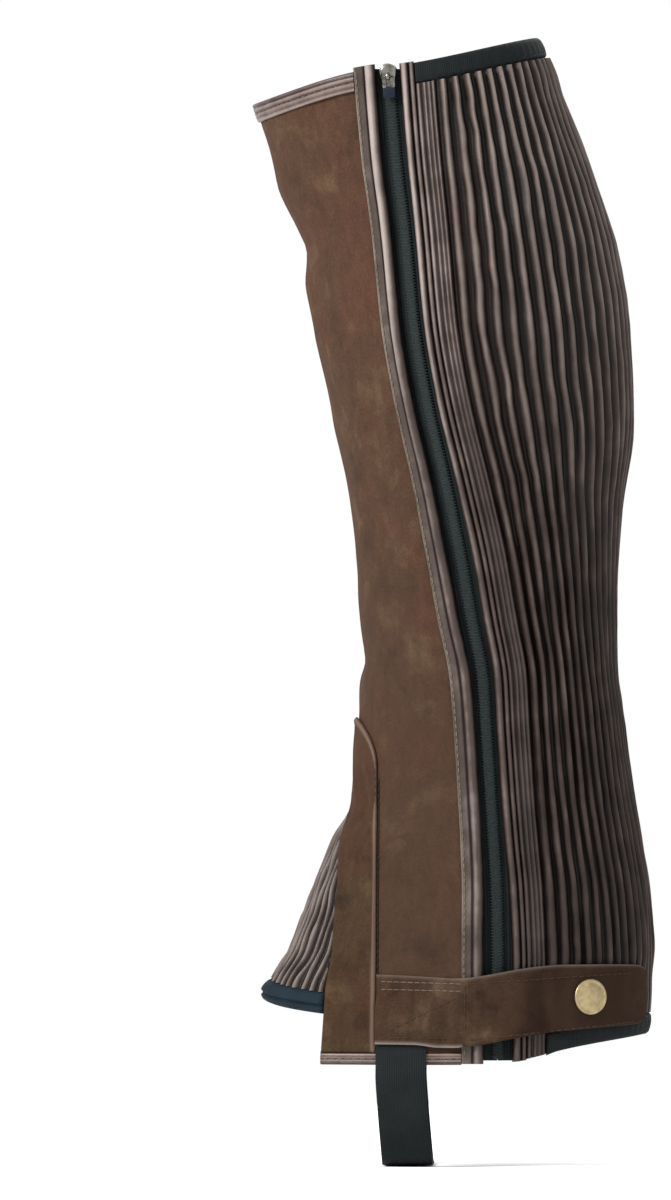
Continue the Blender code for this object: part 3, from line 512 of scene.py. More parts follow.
def woven(name, slot, base, light, ribs=1050.0, picks=1500.0, roughness=0.8):
    """Woven elastic or tape: ribs along its length and finer picks across them."""
    shader = Shader(name, slot, Roughness=roughness, Specular_IOR_Level=0.08)
    cut = shader.add("UVMap", {}, uv_map="cut").outputs[0]
    axes = shader.add("SeparateXYZ", {0: cut})

    def wave(axis, scale):
        turn = shader.math("MULTIPLY", axes.outputs[axis], scale * math.tau)
        return shader.math("MULTIPLY_ADD", shader.math("SINE", turn), 0.5, 0.5)

    rib, pick = wave(0, ribs), wave(1, picks)
    weave = shader.math("MULTIPLY_ADD", pick, 0.35, shader.math("MULTIPLY", rib, 0.65))
    clouds = shader.noise(60, 3, 0.6)
    shade = shader.math("MULTIPLY_ADD", clouds, 0.6, shader.math("MULTIPLY_ADD", weave, 0.5, -0.05))
    colour = shader.ramp(shade, (0.25, base), (0.85, light))
    return shader.finish(colour, (clouds, 0.0008, 0.2), (weave, 0.0003, 0.6))


def metal(name, base, painted_dark_reflection, roughness):
    """Plated metal: clouds of darker plating that paint uneven reflections, and fine scratches."""
    shader = Shader(name, name, Metallic=1.0)
    clouds = shader.noise(320, 3, 0.6)
    scratches = shader.noise(900, 2, 0.6, stretch=(1, 1, 6))
    shader.set("Roughness", shader.math("MULTIPLY_ADD", scratches, 0.2, roughness - 0.1))
    return shader.finish(shader.ramp(clouds, (0.35, painted_dark_reflection), (0.62, base)), (scratches, 0.00005, 0.25))


def thread(name, slot, base, light):
    shader = Shader(name, slot, Roughness=0.6, Specular_IOR_Level=0.1)
    twist = shader.noise(1800, 2, 0.6)
    return shader.finish(shader.ramp(twist, (0.35, base), (0.7, light)), (twist, 0.0002, 0.5))


# Each suede is painted darker along its vector by its share, as painted shade: the shin and the overlay
# towards the bottom, the strap towards the back behind its fold. The fifth colour paints the cut edges paler,
# partly their own colour and partly a painted highlight
SUEDE_LOOK = suede("suede", "suede", (0.0435, 0.0235, 0.0142), (0.068, 0.042, 0.024),
                   (0.055, 0.0235, 0.0150), (0.027, 0.0160, 0.0112), (0.13, 0.095, 0.07), (0, 0, -3), 0.4)
DARK_SUEDE = suede("dark_suede", "dark_suede", (0.033, 0.0190, 0.0105), (0.060, 0.042, 0.020),
                   (0.038, 0.0150, 0.0095), (0.0165, 0.0105, 0.0066), (0.125, 0.086, 0.067), (0, 0, -1), 0.1)
STRAP_SUEDE = suede("strap_suede", "dark_suede", (0.030, 0.0170, 0.0105), (0.058, 0.038, 0.023),
                    (0.033, 0.0150, 0.0095), (0.0165, 0.0085, 0.0056), (0.32, 0.27, 0.24), (18, 0, 0), 0.7)
# For each leather the second colour is its painted highlight and the third its painted shade; the zip edge
# leather is a copy with a brighter painted highlight
RIB_LEATHER = leather("rib_leather", (0.027, 0.0175, 0.0145), (0.112, 0.090, 0.079),
                      (0.0028, 0.0012, 0.0008), 0.45, 0.14)
BINDING_LEATHER = leather("binding_leather", (0.038, 0.023, 0.020), (0.165, 0.125, 0.110),
                          (0.0045, 0.0023, 0.002), 0.4, 0.22)
ZIP_EDGE_LIT_LEATHER = leather("zip_edge_lit_leather", (0.040, 0.0265, 0.022), (0.225, 0.187, 0.170),
                           (0.0045, 0.0023, 0.002), 0.38, 0.22, 0.3)
ELASTIC = woven("elastic", "elastic", (0.0045, 0.0056, 0.006), (0.0125, 0.0155, 0.0165))
BLUE_ELASTIC = woven("blue_elastic", "elastic", (0.0042, 0.0078, 0.0112), (0.0125, 0.024, 0.033))
TAPE = woven("tape", "zip", (0.002, 0.0028, 0.003), (0.009, 0.012, 0.0125), 700.0, 1400.0, 0.7)
COIL = thread("coil", "zip", (0.0062, 0.0088, 0.0092), (0.0185, 0.0235, 0.0235))
# The darker second colours of the steel and the brass are painted reflections of uneven surroundings
STEEL = metal("steel", (0.24, 0.235, 0.21), (0.05, 0.048, 0.042), 0.26)
BRASS = metal("brass", (0.325, 0.26, 0.148), (0.235, 0.185, 0.10), 0.42)
TAB = thread("tab", "black_tab", (0.0035, 0.005, 0.010), (0.010, 0.013, 0.022))
BROWN_THREAD = thread("brown_thread", "leather", (0.045, 0.030, 0.024), (0.12, 0.088, 0.072))
PALE_THREAD = thread("pale_thread", "dark_suede", (0.06, 0.044, 0.036), (0.125, 0.098, 0.082))
OLIVE_THREAD = thread("olive_thread", "leather", (0.058, 0.052, 0.030), (0.15, 0.135, 0.088))
# Near-black thread for the painted shadow line at the foot of the overlay's rear edge
SHADOW_LINE_THREAD = thread("shadow_line_thread", "dark_suede", (0.008, 0.0042, 0.0026), (0.018, 0.0105, 0.007))
FAINT_THREAD = thread("faint_thread", "dark_suede", (0.024, 0.0145, 0.0095), (0.050, 0.034, 0.022))
DARK_THREAD = thread("dark_thread", "elastic", (0.003, 0.004, 0.005), (0.012, 0.013, 0.015))

# Shin panel

SHIN_CREASES = (
    (-74, 52, -56, 34, 1, 6, -1.3), (-70, 66, -50, 60, 1, 7, -0.7), (-74, 34, -60, 10, 1, 6, 0.7),
    (-38, -36, -27, -80, 1, 5, 0.9), (-30, -30, -20, -74, 1, 4, -0.6), (-50, -112, -30, -102, 1, 5, -1.3),
    (-49, -96, -34, -88, 1, 5, 0.8), (-47, -126, -26, -140, 1, 5, 0.7), (-44, -140, -18, -156, 1, 5, -0.6),
    (-30, -170, -22, -236, 1, 6, -0.5), (-16, -120, -14, -200, 1, 7, 0.5), (-74, 50, -50, 36, -1, 7, -1.1),
    (-60, 8, -34, -14, -1, 8, -0.7), (-50, -108, -18, -100, -1, 6, -1.3), (-40, -94, 10, -92, -1, 6, 0.8),
    (-44, -132, 0, -148, -1, 6, -0.9), (0, -60, 30, -90, -1, 8, -0.8), (-20, -180, 24, -200, -1, 8, -0.8),
    (10, -220, 40, -236, -1, 7, 0.7),
)
# Swells and nips round the front edge: height, half height, how far round in degrees, and depth
FRONT_SWELLS = (
    (78, 12, 46, 2.3), (57, 4, 30, -0.7), (43, 9, 46, 1.7), (-117, 5, 40, -1.6), (-129, 6, 40, 0.3),
)
UPPER_ROWS, LEG_ROWS, OUTER_COLUMNS, INNER_COLUMNS = 104, 42, 32, 56
ROW_SPREAD, CLEAR_OF_OVERLAY = 1.25, -136.0


def shin_panel():
    rows = UPPER_ROWS + LEG_ROWS
    down = np.arange(rows + 1)[:, None]
    grids, quads, start = [], [], 0
    for side, columns, rear in ((1, OUTER_COLUMNS, shin_edge), (-1, INNER_COLUMNS, inner_seam)):
        column = between(arch_line(side), rear, np.linspace(0, 1, columns + 1))
        top = meet(top_line, column, -BINDING - SEAM)
        foot = meet(hem_line, column, BINDING + SEAM)
        above = (top - ARCH_TOP) * (1 - np.minimum(down / UPPER_ROWS, 1)) ** ROW_SPREAD
        below = (foot - ARCH_TOP) * (down - UPPER_ROWS) / LEG_ROWS
        height = ARCH_TOP + np.where(down <= UPPER_ROWS, above, below)
        grids.append(np.stack((column(height), height)).reshape(2, -1))
        quads.append(grid_quads(rows + 1, columns + 1)[:, ::side] + start)
        start += (rows + 1) * (columns + 1)
    # Above the cut-out both grids share their points at angle 0
    shared, row = np.arange(start), np.arange(UPPER_ROWS + 1)
    shared[(rows + 1) * (OUTER_COLUMNS + 1) + row * (INNER_COLUMNS + 1)] = row * (OUTER_COLUMNS + 1)
    used, ids = np.unique(shared, return_inverse=True)
    angle, height = np.hstack(grids)[:, used]
    sway = 0.35 * noise(angle / 14, height / 24, 3) + 0.16 * noise(angle / 6, height / 9, 5)
    inside = ease((shin_edge(height) - angle) / 9) * ease((angle - inner_seam(height)) / 6)
    clear = ease((np.abs(angle) - overlay_rear(height) - 3) / 5) + (height > CLEAR_OF_OVERLAY)
    move = (creases(SHIN_CREASES, angle, height) + sway) * inside * np.clip(clear, 0, 1)
    swell = sum(depth * np.exp(-((height - level) / tall) ** 2 - (angle / round_by) ** 2)
                for level, tall, round_by, depth in FRONT_SWELLS)
    return wall("shin", ids[np.vstack(quads)], angle, height, swell + np.minimum(move, 0.5),
                swell + SUEDE + move, SUEDE_LOOK, "shin_panel")


# Lower overlay

OVERLAY_TOP, OVERLAY_ROUND, OVERLAY_HEM, OVERLAY_TURN = -140.3, -162.0, -280.3, 0.6
OVERLAY_FOLDS = (
    (-52, -150, -53, -190, 1, 3, 0.7), (-48, -155, -48, -200, 1, 2.6, -0.6),
    (-54, -196, -57, -236, 1, 3.4, -0.7), (-50, -205, -51, -246, 1, 3, 0.5),
    (-62, -236, -60, -276, 1, 3.4, 0.8), (-56, -246, -55, -279, 1, 2.6, -0.9),
    (-51, -240, -50, -278, 1, 3, 0.5), (-52, -160, -54, -206, -1, 3.2, -0.6),
    (-49, -190, -50, -240, -1, 3.2, 0.6), (-58, -214, -58, -262, -1, 3.6, -0.8),
    (-64, -240, -61, -276, -1, 3.4, 0.7), (-54, -246, -53, -279, -1, 2.8, -0.7),
)


def overlay_spot(along, over):
    side = np.where(along < 0.5, 1.0, -1.0)
    up = 1 - np.abs(2 * along - 1)
    near = OVERLAY_HEM + (ARCH_TOP - OVERLAY_HEM) * up
    start = arch_angle(near, 1)
    low = OVERLAY_HEM + (OVERLAY_ROUND - OVERLAY_HEM) * up / OVERLAY_TURN
    turn = np.pi / 2 * np.clip((up - OVERLAY_TURN) / (1 - OVERLAY_TURN), 0, 1)
    far = np.where(up <= OVERLAY_TURN, low, OVERLAY_ROUND + (OVERLAY_TOP - OVERLAY_ROUND) * np.sin(turn))
    end = np.where(up <= OVERLAY_TURN, overlay_rear(far), overlay_rear(OVERLAY_ROUND) * np.cos(turn))
    return side * (start + (end - start) * over), near + (far - near) * over


def lower_overlay():
    def rear_band(angle, height, middle, half):
        run = lengths(form_point(angle, height))[..., 0]
        return np.exp(-((run[:, -1:] - run - middle) / half) ** 2)

    def high(down, across, angle, height):
        folds = creases(OVERLAY_FOLDS, angle, height) + 0.2 * noise(angle / 5, height / 16, 8)
        rear = rear_band(angle, height, 1.3, 1.0)
        inside = ease(across * 9) * ease((1 - across) * 9)
        return ON_PANEL + OVERLAY + folds * inside + 0.45 * rear

    # Its tone paints the rear edge paler, partly the cut edge's own colour and partly a painted highlight
    return grid_wall("overlay", (22, 280), (44, 190), overlay_spot, ON_PANEL, high, DARK_SUEDE,
                     "lower_overlay", lambda *place: rear_band(*place[2:], 1.0, 0.9))


# Gathered calf panel and instep insert

# Counts of ribs and steps, distances out from the form, then a tone, heights and a pitch
RIBS, RIB_COLUMNS, CALF_ROWS, INSTEP_COLUMNS, INSTEP_ROWS = 22, 10, 150, 192, 70
GATHER_INSIDE, RIB_VALLEY, RIB_CREST, RIB_PRESSED, RIB_LIMIT, INSTEP_CREST = 0.3, 0.9, 3.5, 2.3, 5.0, 3.0
LINING_TONE = 0.34
PRESSED_BELOW, PRESSED_FULLY = -236.0, -252.0
INSTEP_START, INSTEP_FRONT_HEM, INSTEP_SIDE_HEM, INSTEP_PITCH = ARCH_TOP - 3.5, -258.6, -264.4, 4.2


def ridges(phase, narrow):
    return (0.5 - 0.5 * np.cos(2 * np.pi * phase)) ** narrow


def calf_panel():
    across, down = np.linspace(0, 1, RIBS * RIB_COLUMNS + 1), np.linspace(0, 1, CALF_ROWS + 1)[:, None]
    column = between(calf_edge, calf_seam, across)
    height = down_to_hem(column, down, ELASTIC_BAND + TOUCH, ELASTIC_BAND + TOUCH)
    rib = across * RIBS
    inside = np.clip(np.sin(np.pi * across) * 4, 0, 1)
    loose = 1 - 0.72 * ease((down - 0.3) * 2.5)
    waver = 0.58 * noise(rib * 0.55, height / 21, 11) + 0.3 * noise(rib * 1.1, height / 8, 12)
    angle = column(height) + waver * loose * inside
    phase = rib - np.floor(rib)
    narrow = 1.15 + 1.25 * ease((0.55 - down) * 2) + 0.3 * noise(rib * 0.9, height / 30, 14)
    bulge = ridges(phase + 0.05 * np.sin(2 * np.pi * phase), narrow)
    tall = 1 + 0.13 * noise(np.floor(rib) * 1.7 + 0.5, height / 26, 15) + 0.05 * noise(rib, height / 6, 16)
    tucked = 1 + 0.18 * np.exp(-((down - 0.015) / 0.014) ** 2)
    pressed = ease((PRESSED_BELOW - height) / (PRESSED_BELOW - PRESSED_FULLY))
    crest = RIB_CREST + (RIB_PRESSED - RIB_CREST) * pressed
    high = RIB_VALLEY + (crest * tall * tucked - RIB_VALLEY) * bulge
    high = np.minimum(high, RIB_PRESSED + (RIB_LIMIT - RIB_PRESSED) * (1 - pressed))
    # Painted highlight on the crests, strongest near the top and fading downwards, and painted shade in the
    # valleys
    painted_highlight = 0.43 + 0.53 * ease((0.66 - down) * 1.6) + 0.12 * noise(rib * 2, height / 12, 17)
    return full_grid("calf_ribs", angle, height, GATHER_INSIDE, high, RIB_LEATHER, "calf_panel",
                     np.clip(bulge ** 1.15 * painted_highlight, 0, 1), LINING_TONE)


def instep_hem(across):
    return INSTEP_FRONT_HEM + (INSTEP_SIDE_HEM - INSTEP_FRONT_HEM) * np.abs(2 * across - 1)


def instep_panel():
    across, down = np.linspace(0, 1, INSTEP_COLUMNS + 1), np.linspace(0, 1, INSTEP_ROWS + 1)[:, None]
    height = INSTEP_START + (instep_hem(across) + ELASTIC_BAND + TOUCH - INSTEP_START) * down
    angle = (2 * across - 1) * arch_angle(height, -1)
    round_front = angle * form_frame(angle / 2, height)[2]
    phase = round_front / (INSTEP_PITCH * (0.8 + 0.2 * down)) + 0.5 + 0.3 * noise(angle / 7, height / 10, 21)
    bulge = ridges(phase, 1.2)
    tall = 1 + 0.25 * noise(np.floor(phase) * 1.3, height / 9, 22)
    high = RIB_VALLEY + (INSTEP_CREST * tall - RIB_VALLEY) * bulge
    # Painted highlight on the crests and painted shade in the valleys
    tone = (0.98 + 0.2 * noise(phase, height / 5, 23)) * bulge ** 1.2
    return full_grid("instep_ribs", angle, height, GATHER_INSIDE, high, RIB_LEATHER, "instep_panel", tone,
                     LINING_TONE)


# Elastic edges


def elastic_edges():
    def edge_spot(line, start, up):
        def spot(down, across):
            column = between(start, calf_seam, across)
            height = meet(line, column, ELASTIC_BAND * (up - down))
            return column(height), height
        return spot

    def instep_spot(down, across):
        height = instep_hem(across) + ELASTIC_BAND * (1 - down)
        return (2 * across - 1) * arch_angle(height, -1), height

    def puffed(least, most, gathers, groove=0.0):
        def high(down, across, angle, height):
            ripple = 0.12 * np.sin(2 * np.pi * across * gathers) + 0.1 * noise(angle / 3, height / 5, 31)
            puff = least + (most - least) * np.sin(np.pi * down) ** 0.6
            return puff + ripple * np.sin(np.pi * down) - groove * np.exp(-((down - 0.64) / 0.075) ** 2)
        return high

    top_spot = edge_spot(top_line, offset(zip_rear, PIPING_WIDTH + TOUCH), 0)
    hem_spot = edge_spot(hem_line, calf_edge, 1)
    for name, width, steps, spot, puff, look, node in (
            ("top_band", 170, (220, 10), top_spot, puffed(1.9, 2.8, 24), ELASTIC, "top_elastic"),
            ("hem_band", 150, (200, 10), hem_spot, puffed(1.9, 2.8, 22), ELASTIC, "hem_elastic"),
            ("instep_band", 84, (120, 26), instep_spot, puffed(2.0, 4.9, 14, 1.3), BLUE_ELASTIC,
             "instep_elastic")):
        grid_wall(name, (width, ELASTIC_BAND), steps, spot, GATHER_INSIDE, puff, look, node)


# Bindings

# Cross-sections: millimetres along, out from the form, and the tone at the top and the foot, which paints
# highlights on the ridges and shade in the grooves
FRONT_BINDING = (
    (0.0, 2.0, 0.3, 0.3), (0.2, 2.75, 0.72, 0.56), (0.7, 2.7, 0.5, 0.48), (2.2, 2.6, 0.44, 0.45),
    (3.6, 2.7, 0.4, 0.43), (4.2, 2.35, 0.0, 0.05), (4.9, 3.5, 0.92, 0.45), (5.8, 4.4, 1.0, 0.54),
    (6.8, 4.55, 0.84, 0.45), (7.9, 4.0, 0.5, 0.34), (8.7, 2.8, 0.15, 0.1), (8.8, 1.4, 0, 0), (8.3, 0.3, 0, 0),
    (7.7, 0.5, 0, 0), (7.6, 1.9, 0, 0), (4.0, 1.95, 0, 0),
)
REAR_PIPING = (
    (0.0, 0.4, 0, 0), (-0.05, 2.0, 0.1, 0.1), (0.5, 3.4, 0.7, 0.4), (1.5, 4.15, 0.9, 0.48),
    (2.6, 3.7, 0.4, 0.28), (3.3, 2.3, 0, 0), (4.0, 3.1, 0.62, 0.42), (4.9, 3.05, 0.56, 0.38),
    (5.55, 2.2, 0.05, 0.05), (5.55, 0.4, 0, 0), (2.8, 0.35, 0, 0),
)
REAR_BINDING = (
    (5.62, 0.4, 0, 0), (5.8, 2.1, 0.1, 0.1), (6.7, 3.0, 0.76, 0.44), (7.6, 2.3, 0.35, 0.22),
    (8.3, 1.8, 0.12, 0.1), (9.3, 2.5, 0.68, 0.4), (10.2, 1.85, 0.18, 0.12), (11.2, 2.6, 0.64, 0.38),
    (12.1, 1.85, 0.18, 0.12), (12.9, 2.5, 0.62, 0.36), (13.8, 1.6, 0.1, 0.1), (14.27, 0.4, 0, 0),
    (10.0, 0.35, 0, 0),
)
# Heights below which the zip edges take their foot tone, at the front and the rear, and above which they take
# their full painted highlight
HIGHLIGHT_FADE_FROM, REAR_HIGHLIGHT_FADE_FROM, HIGHLIGHT_FULL_AT = -24.0, -80.0, 52.0
# Stations down the zip, and the height and the length that the fade of their painted highlight is worked out
# on
ZIP_STATIONS, HIGHLIGHT_FADE_TOP, HIGHLIGHT_FADE_LENGTH = 170, 130.0, 410.0


def folded(name, start, end, count, line, up, height, node):
    """Leather folded over a panel's edge; up is 1 at a top edge and -1 at a hem."""
    inner = height - 1.4
    # Down from the edge, out from the form, and tone, which paints highlights on the ridges and the lower
    # edge and shade in the dips
    profile = np.array((
        (0.9, 2.95, 0.6), (height * 0.24, 2.75, 0.2), (height * 0.32, 3.0, 0.85), (height * 0.44, 3.0, 0.6),
        (height * 0.52, 2.66, 0.1), (height * 0.6, 2.98, 0.8), (height * 0.8, 2.95, 0.5),
        (height - 0.5, 2.95, 1.0), (height, 2.6, 0.6), (height, ON_PANEL, 0), (height * 0.5, ON_PANEL, 0),
        (BINDING, ON_PANEL, 0), (BINDING, 0.8, 0), (BINDING, -SEAM, 0), (inner * 0.5, -SEAM, 0),
        (inner, -SEAM, 0.2), (inner, -SEAM - BINDING, 0.6), (0.9, -SEAM - BINDING, 0.4), (0.15, -0.6, 0.35),
        (0.0, 0.8, 0.3), (0.2, 2.3, 0.3)))
    along, out = profile[:, 0], profile[:, 1]
    part = np.linspace(0, 1, count + 1)[:, None]
    column = between(start, end, part)
    level = meet(line, column, -up * along)
    ripple = 0.2 * noise(part * count / 1.6, along / 2, 41)
    rings = form_point(column(level), level, out + ripple * (out > 2.5))
    return strip(name, rings, BINDING_LEATHER, node, profile[:, 2], 75)


def down_zip(name, corners, line, top_gap, foot_gap, node, painted_highlight_from, streaked=0.0):
    corners = np.array(corners)
    along, out, painted_highlight_top, painted_highlight_foot = soft_curve(np.vstack((corners[-1:], corners, corners[:2])), 3).T
    column = offset(line, along)
    part = np.linspace(0, 1, ZIP_STATIONS + 1)[:, None]
    height = down_to_hem(column, part, top_gap, foot_gap)
    ripple = 0.1 * noise(along / 2.5, part * 60, 43) + streaked * noise(along / 1.1, part * 15, 44)
    # The painted highlight fades from the top tone to the foot tone down the zip
    painted_highlight = np.clip((HIGHLIGHT_FADE_TOP - HIGHLIGHT_FADE_LENGTH * part - painted_highlight_from) / (HIGHLIGHT_FULL_AT - painted_highlight_from), 0, 1) ** 1.2
    tone = np.clip(painted_highlight_foot + (painted_highlight_top - painted_highlight_foot) * painted_highlight, 0, 1)
    return strip(name, form_point(column(height), height, out + ripple * (out > 1.5)), ZIP_EDGE_LIT_LEATHER, node,
                 tone, 80)


def edge_bindings():
    folded("top_edge", beside_zip, inner_seam, 130, top_line, 1, 8.4, "top_binding")
    folded("hem_edge_outer", beside_zip, arch_line(1), 36, hem_line, -1, 4.8, "hem_binding_outer")
    folded("hem_edge_inner", arch_line(-1), inner_seam, 70, hem_line, -1, 4.8, "hem_binding_inner")


def zip_bindings():
    front_side = offset(zip_front, -FRONT_BINDING_WIDTH)
    front = down_zip("front_zip_edge", FRONT_BINDING, front_side, -1.6, 0.4, "zip_binding_front", HIGHLIGHT_FADE_FROM)
    piping = down_zip("rear_zip_piping", REAR_PIPING, zip_rear, -0.6, 0.4, "zip_piping_rear", REAR_HIGHLIGHT_FADE_FROM)
    down_zip("rear_zip_edge", REAR_BINDING, zip_rear, ELASTIC_BAND + TOUCH, 0.8, "zip_binding_rear",
             REAR_HIGHLIGHT_FADE_FROM, 0.3)
    return front, piping


# Zip

TAPE_OUT, TAPE_THICK, TAPE_UNDER, TAPE_PARTING = -0.5, 0.7, 5.0, 1.3
ZIP_FOOT, SLIDER_HEIGHT, SLIDER_HALF_WIDTH, SLIDER_HALF_LENGTH = -283.6, 127.6, 3.5, 5.4
PLATE_THICK, PLATE_OUT, BACK_PLATE_OUT, SHOULDER = 1.2, 1.9, -2.6, 2.6
# Corners down one side of the slider's waist: x and y
WAIST = ((-3.3, 0.8), (-2.75, -1.4), (-2.7, -4.4), (-2.2, -5.2), (-1.2, -5.4))
HINGE_OUT, BAR_ARCH, BAR_HALF_WIDTH, BAR_HALF_THICK = 3.85, 1.35, 0.7, 0.4
COIL_PITCH, COIL_RADIUS, COIL_REACH, COIL_HOOK = 1.25, 0.44, 2.7, 2.0
# How far along a rod each ring is, and its share of the radius
ROD_RINGS = ((0.0, 0.45), (0.12, 0.9), (0.5, 1.0), (0.88, 0.9), (1.0, 0.45))
ROD_SIDES = 6


def zip_tape(name, node, side, panel_edge):
    parted = SLIDER_HEIGHT - SLIDER_HALF_LENGTH - 1.0

    def spot(down, across):
        top = meet(top_line, zip_middle, -1.0)
        height = top + (ZIP_FOOT - top) * down ** 1.1
        apart = SEAM / 2 + (TAPE_PARTING - SEAM / 2) * ease((height - parted) / 3.0)
        near = walk(zip_middle(height), height, side * apart)
        return near + (offset(panel_edge, side * TAPE_UNDER)(height) - near) * across, height

    grid_wall(name, (10, 415), (6, 150), spot, TAPE_OUT - TAPE_THICK, TAPE_OUT, TAPE, node)


def rods(name, starts, ends, outs, radius, look, node=None):
    """Round-ended rods between pairs of points, all in one piece."""
    part, girth = np.array(ROD_RINGS).T[:, :, None]
    turn = (np.arange(ROD_SIDES) * math.tau / ROD_SIDES)[:, None]
    run = ends - starts
    across = unit(np.cross(run, outs))
    up = unit(np.cross(across, run))
    middle = starts[:, None] + run[:, None] * part
    ring = np.cos(turn) * across[:, None, None] + np.sin(turn) * up[:, None, None]
    points = middle[:, :, None] + ring * (radius * girth)[:, None]
    faces = ring_faces(len(ROD_RINGS), ROD_SIDES)
    every = [[i + first for i in face] for first in range(0, points.size // 3, len(ROD_RINGS) * ROD_SIDES)
             for face in faces]
    new_piece(name, points.reshape(-1, 3), every, look, node, sharp=70)


def zip_coil():
    """Closed coil: short bars from both sides that mesh along the middle."""
    height = np.arange(SLIDER_HEIGHT - SLIDER_HALF_LENGTH - SEAM, ZIP_FOOT + 1.0, -COIL_PITCH / 2)
    side = np.where(np.arange(len(height)) % 2, 1.0, -1.0)
    far = form_point(offset(zip_middle, side * COIL_REACH)(height), height, 0.3)
    near = form_point(offset(zip_middle, -side * COIL_HOOK)(height), height, 0.8)
    rods("coil", far, near, form_frame(zip_middle(height), height)[1], COIL_RADIUS, COIL, "zip_chain")


def axes(up, outward, origin):
    placed = Matrix((up.cross(outward), up, outward)).transposed().to_4x4()
    placed.translation = origin
    return placed


def zip_frame(height, out):
    """Axes on the zip: x across it, y up along it and z outward, from a point that far out."""
    heights = height + 4.0 * np.arange(-1, 2)
    middle = zip_middle(heights)
    below, origin, above = form_point(middle, heights)
    outward = Vector(form_frame(middle[1], height)[1])
    up = Vector(above - below).normalized()
    outward = (outward - up * outward.dot(up)).normalized()
    return axes(up, outward, Vector(origin) + outward * out)


def lofted(rings):
    return np.vstack(rings), ring_faces(len(rings), len(rings[0]))


def plate(outline, low, high, rounded=0.35):
    """An outline in the XY plane as a slab with rounded rims."""
    outline = np.array(outline, float)
    centre = outline.mean(0)
    reach = np.linalg.norm(outline - centre, axis=1, keepdims=True)
    turns = np.linspace(0, math.pi / 2, 4)
    levels = [(rounded * (1 - math.sin(a)), rounded * (1 - math.cos(a))) for a in turns]
    made = [(inset, low + rise) for inset, rise in levels]
    made += [(inset, high - rise) for inset, rise in levels[::-1]]
    return lofted([np.column_stack((centre + (outline - centre) * (1 - inset / reach),
                                    np.full(len(outline), level))) for inset, level in made])


def assembled(name, parts, placed, look, node=None, body="chap", sharp=40):
    """Several solids in place as one piece."""
    points, faces = [], []
    for part_points, part_faces in parts:
        faces += [[i + len(points) for i in face] for face in part_faces]
        points += [placed @ Vector(point) for point in part_points]
    new_piece(name, points, faces, look, node, body=body, sharp=sharp)


def slider():
    outline = [(SLIDER_HALF_WIDTH * math.cos(a), SLIDER_HALF_LENGTH - SHOULDER + SHOULDER * math.sin(a))
               for a in np.radians(np.arange(0, 181, 12))]
    outline += [*WAIST, *((-x, y) for x, y in WAIST[::-1])]
    top = PLATE_OUT + PLATE_THICK
    post = ((-0.9, 0.8), (0.9, 0.8), (0.9, 4.8), (-0.9, 4.8))
    arch = [(-BAR_ARCH * math.cos(a), HINGE_OUT + BAR_ARCH * math.sin(a))
            for a in np.linspace(0, math.pi, 13)]
    bar = np.array([(-BAR_ARCH, top - 0.3), *arch, (BAR_ARCH, top - 0.3)])
    turn = np.arange(10) * math.tau / 10
    wide, thick = BAR_HALF_WIDTH * np.cos(turn), BAR_HALF_THICK * np.sin(turn)
    parts = [
        plate(outline, PLATE_OUT, top),
        plate([(x * 0.82, y * 0.86) for x, y in outline], top - 0.5, top + 0.28, 0.3),
        plate(outline, BACK_PLATE_OUT, BACK_PLATE_OUT + PLATE_THICK),
        plate(post, BACK_PLATE_OUT + 0.4, PLATE_OUT + 0.4, 0.2),
        lofted([np.column_stack((wide, y - run_z * thick, z + run_y * thick))
                for (y, z), (run_y, run_z) in zip(bar, unit(np.gradient(bar, axis=0)))]),
    ]
    assembled("zip_slider", parts, zip_frame(SLIDER_HEIGHT, 0.0), STEEL, "slider", sharp=35)


def pull_tab():
    """Metal clip hung by the bar over its slot, and the flat tab with rounded corners below it."""
    def box(x0, x1, y0, y1, thick, rounded):
        left, right, low, high = x0 + rounded, x1 - rounded, y0 + rounded, y1 - rounded
        quarters = ((right, high, 0), (left, high, 90), (left, low, 180), (right, low, 270))
        corners = [(x + rounded * math.cos(a), y + rounded * math.sin(a)) for x, y, start in quarters
                   for a in np.radians(np.linspace(start, start + 90, 4))]
        return plate(corners, -thick / 2, thick / 2, min(0.22, thick / 3))

    placed = zip_frame(SLIDER_HEIGHT, HINGE_OUT)
    clip = [box(-2.35, 2.35, -0.4, 0.15, 0.76, 0.2), box(-2.4, -0.9, -4.9, 0.12, 0.76, 0.5),
            box(0.9, 2.4, -4.9, 0.12, 0.76, 0.5)]
    assembled("tab_clip", clip, placed, STEEL, body="pull_tab")
    assembled("tab", [box(-2.5, 2.5, -9.2, -4.5, 0.85, 1.1)], placed, TAB, "pull_tab", "pull_tab")


# Strap, snap and stirrup

STRAP_START, STRAP_END, STRAP_HEIGHT, STRAP_PALE_UP_TO = 60.0, 161.0, 28.0, 93.0
STIRRUP_WIDTH, STIRRUP_THICK, STIRRUP_POINTS, STIRRUP_STEPS = 21.0, 1.3, 15, 7
# The strap lies over the stirrup from this far below its top edge, and up to this angle
OVER_STIRRUP_BELOW, OVER_STIRRUP_ANGLE = 8.0, 84.0
SNAP_X, SNAP_HEIGHT, SNAP_LIFT, SNAP_SIDES = 45.1, -257.0, 5.1, 72
STRAP_FOLDS = (
    (-43, -248, -40, -256, 1, 1.8, -0.7), (-39, -248, -36, -257, 1, 1.8, 0.6),
    (-35, -249, -33, -258, 1, 1.8, -0.5), (-28, -252, -22, -272, 1, 3, -0.4),
    (-14, -250, -9, -276, 1, 3.4, 0.45), (-4, -252, -2, -276, 1, 3, -0.5),
    (15, -245, 18, -276, 1, 3.4, 2.5), (23.5, -246, 25, -275, 1, 2.4, -1.6),
    (29, -248, 30, -272, 1, 2.6, 0.5), (34, -262, 52, -268, 1, 3, 0.4), (36, -247, 33, -256, 1, 2.4, -0.5),
    (58, -248, 60, -266, 1, 3, -0.5),
)


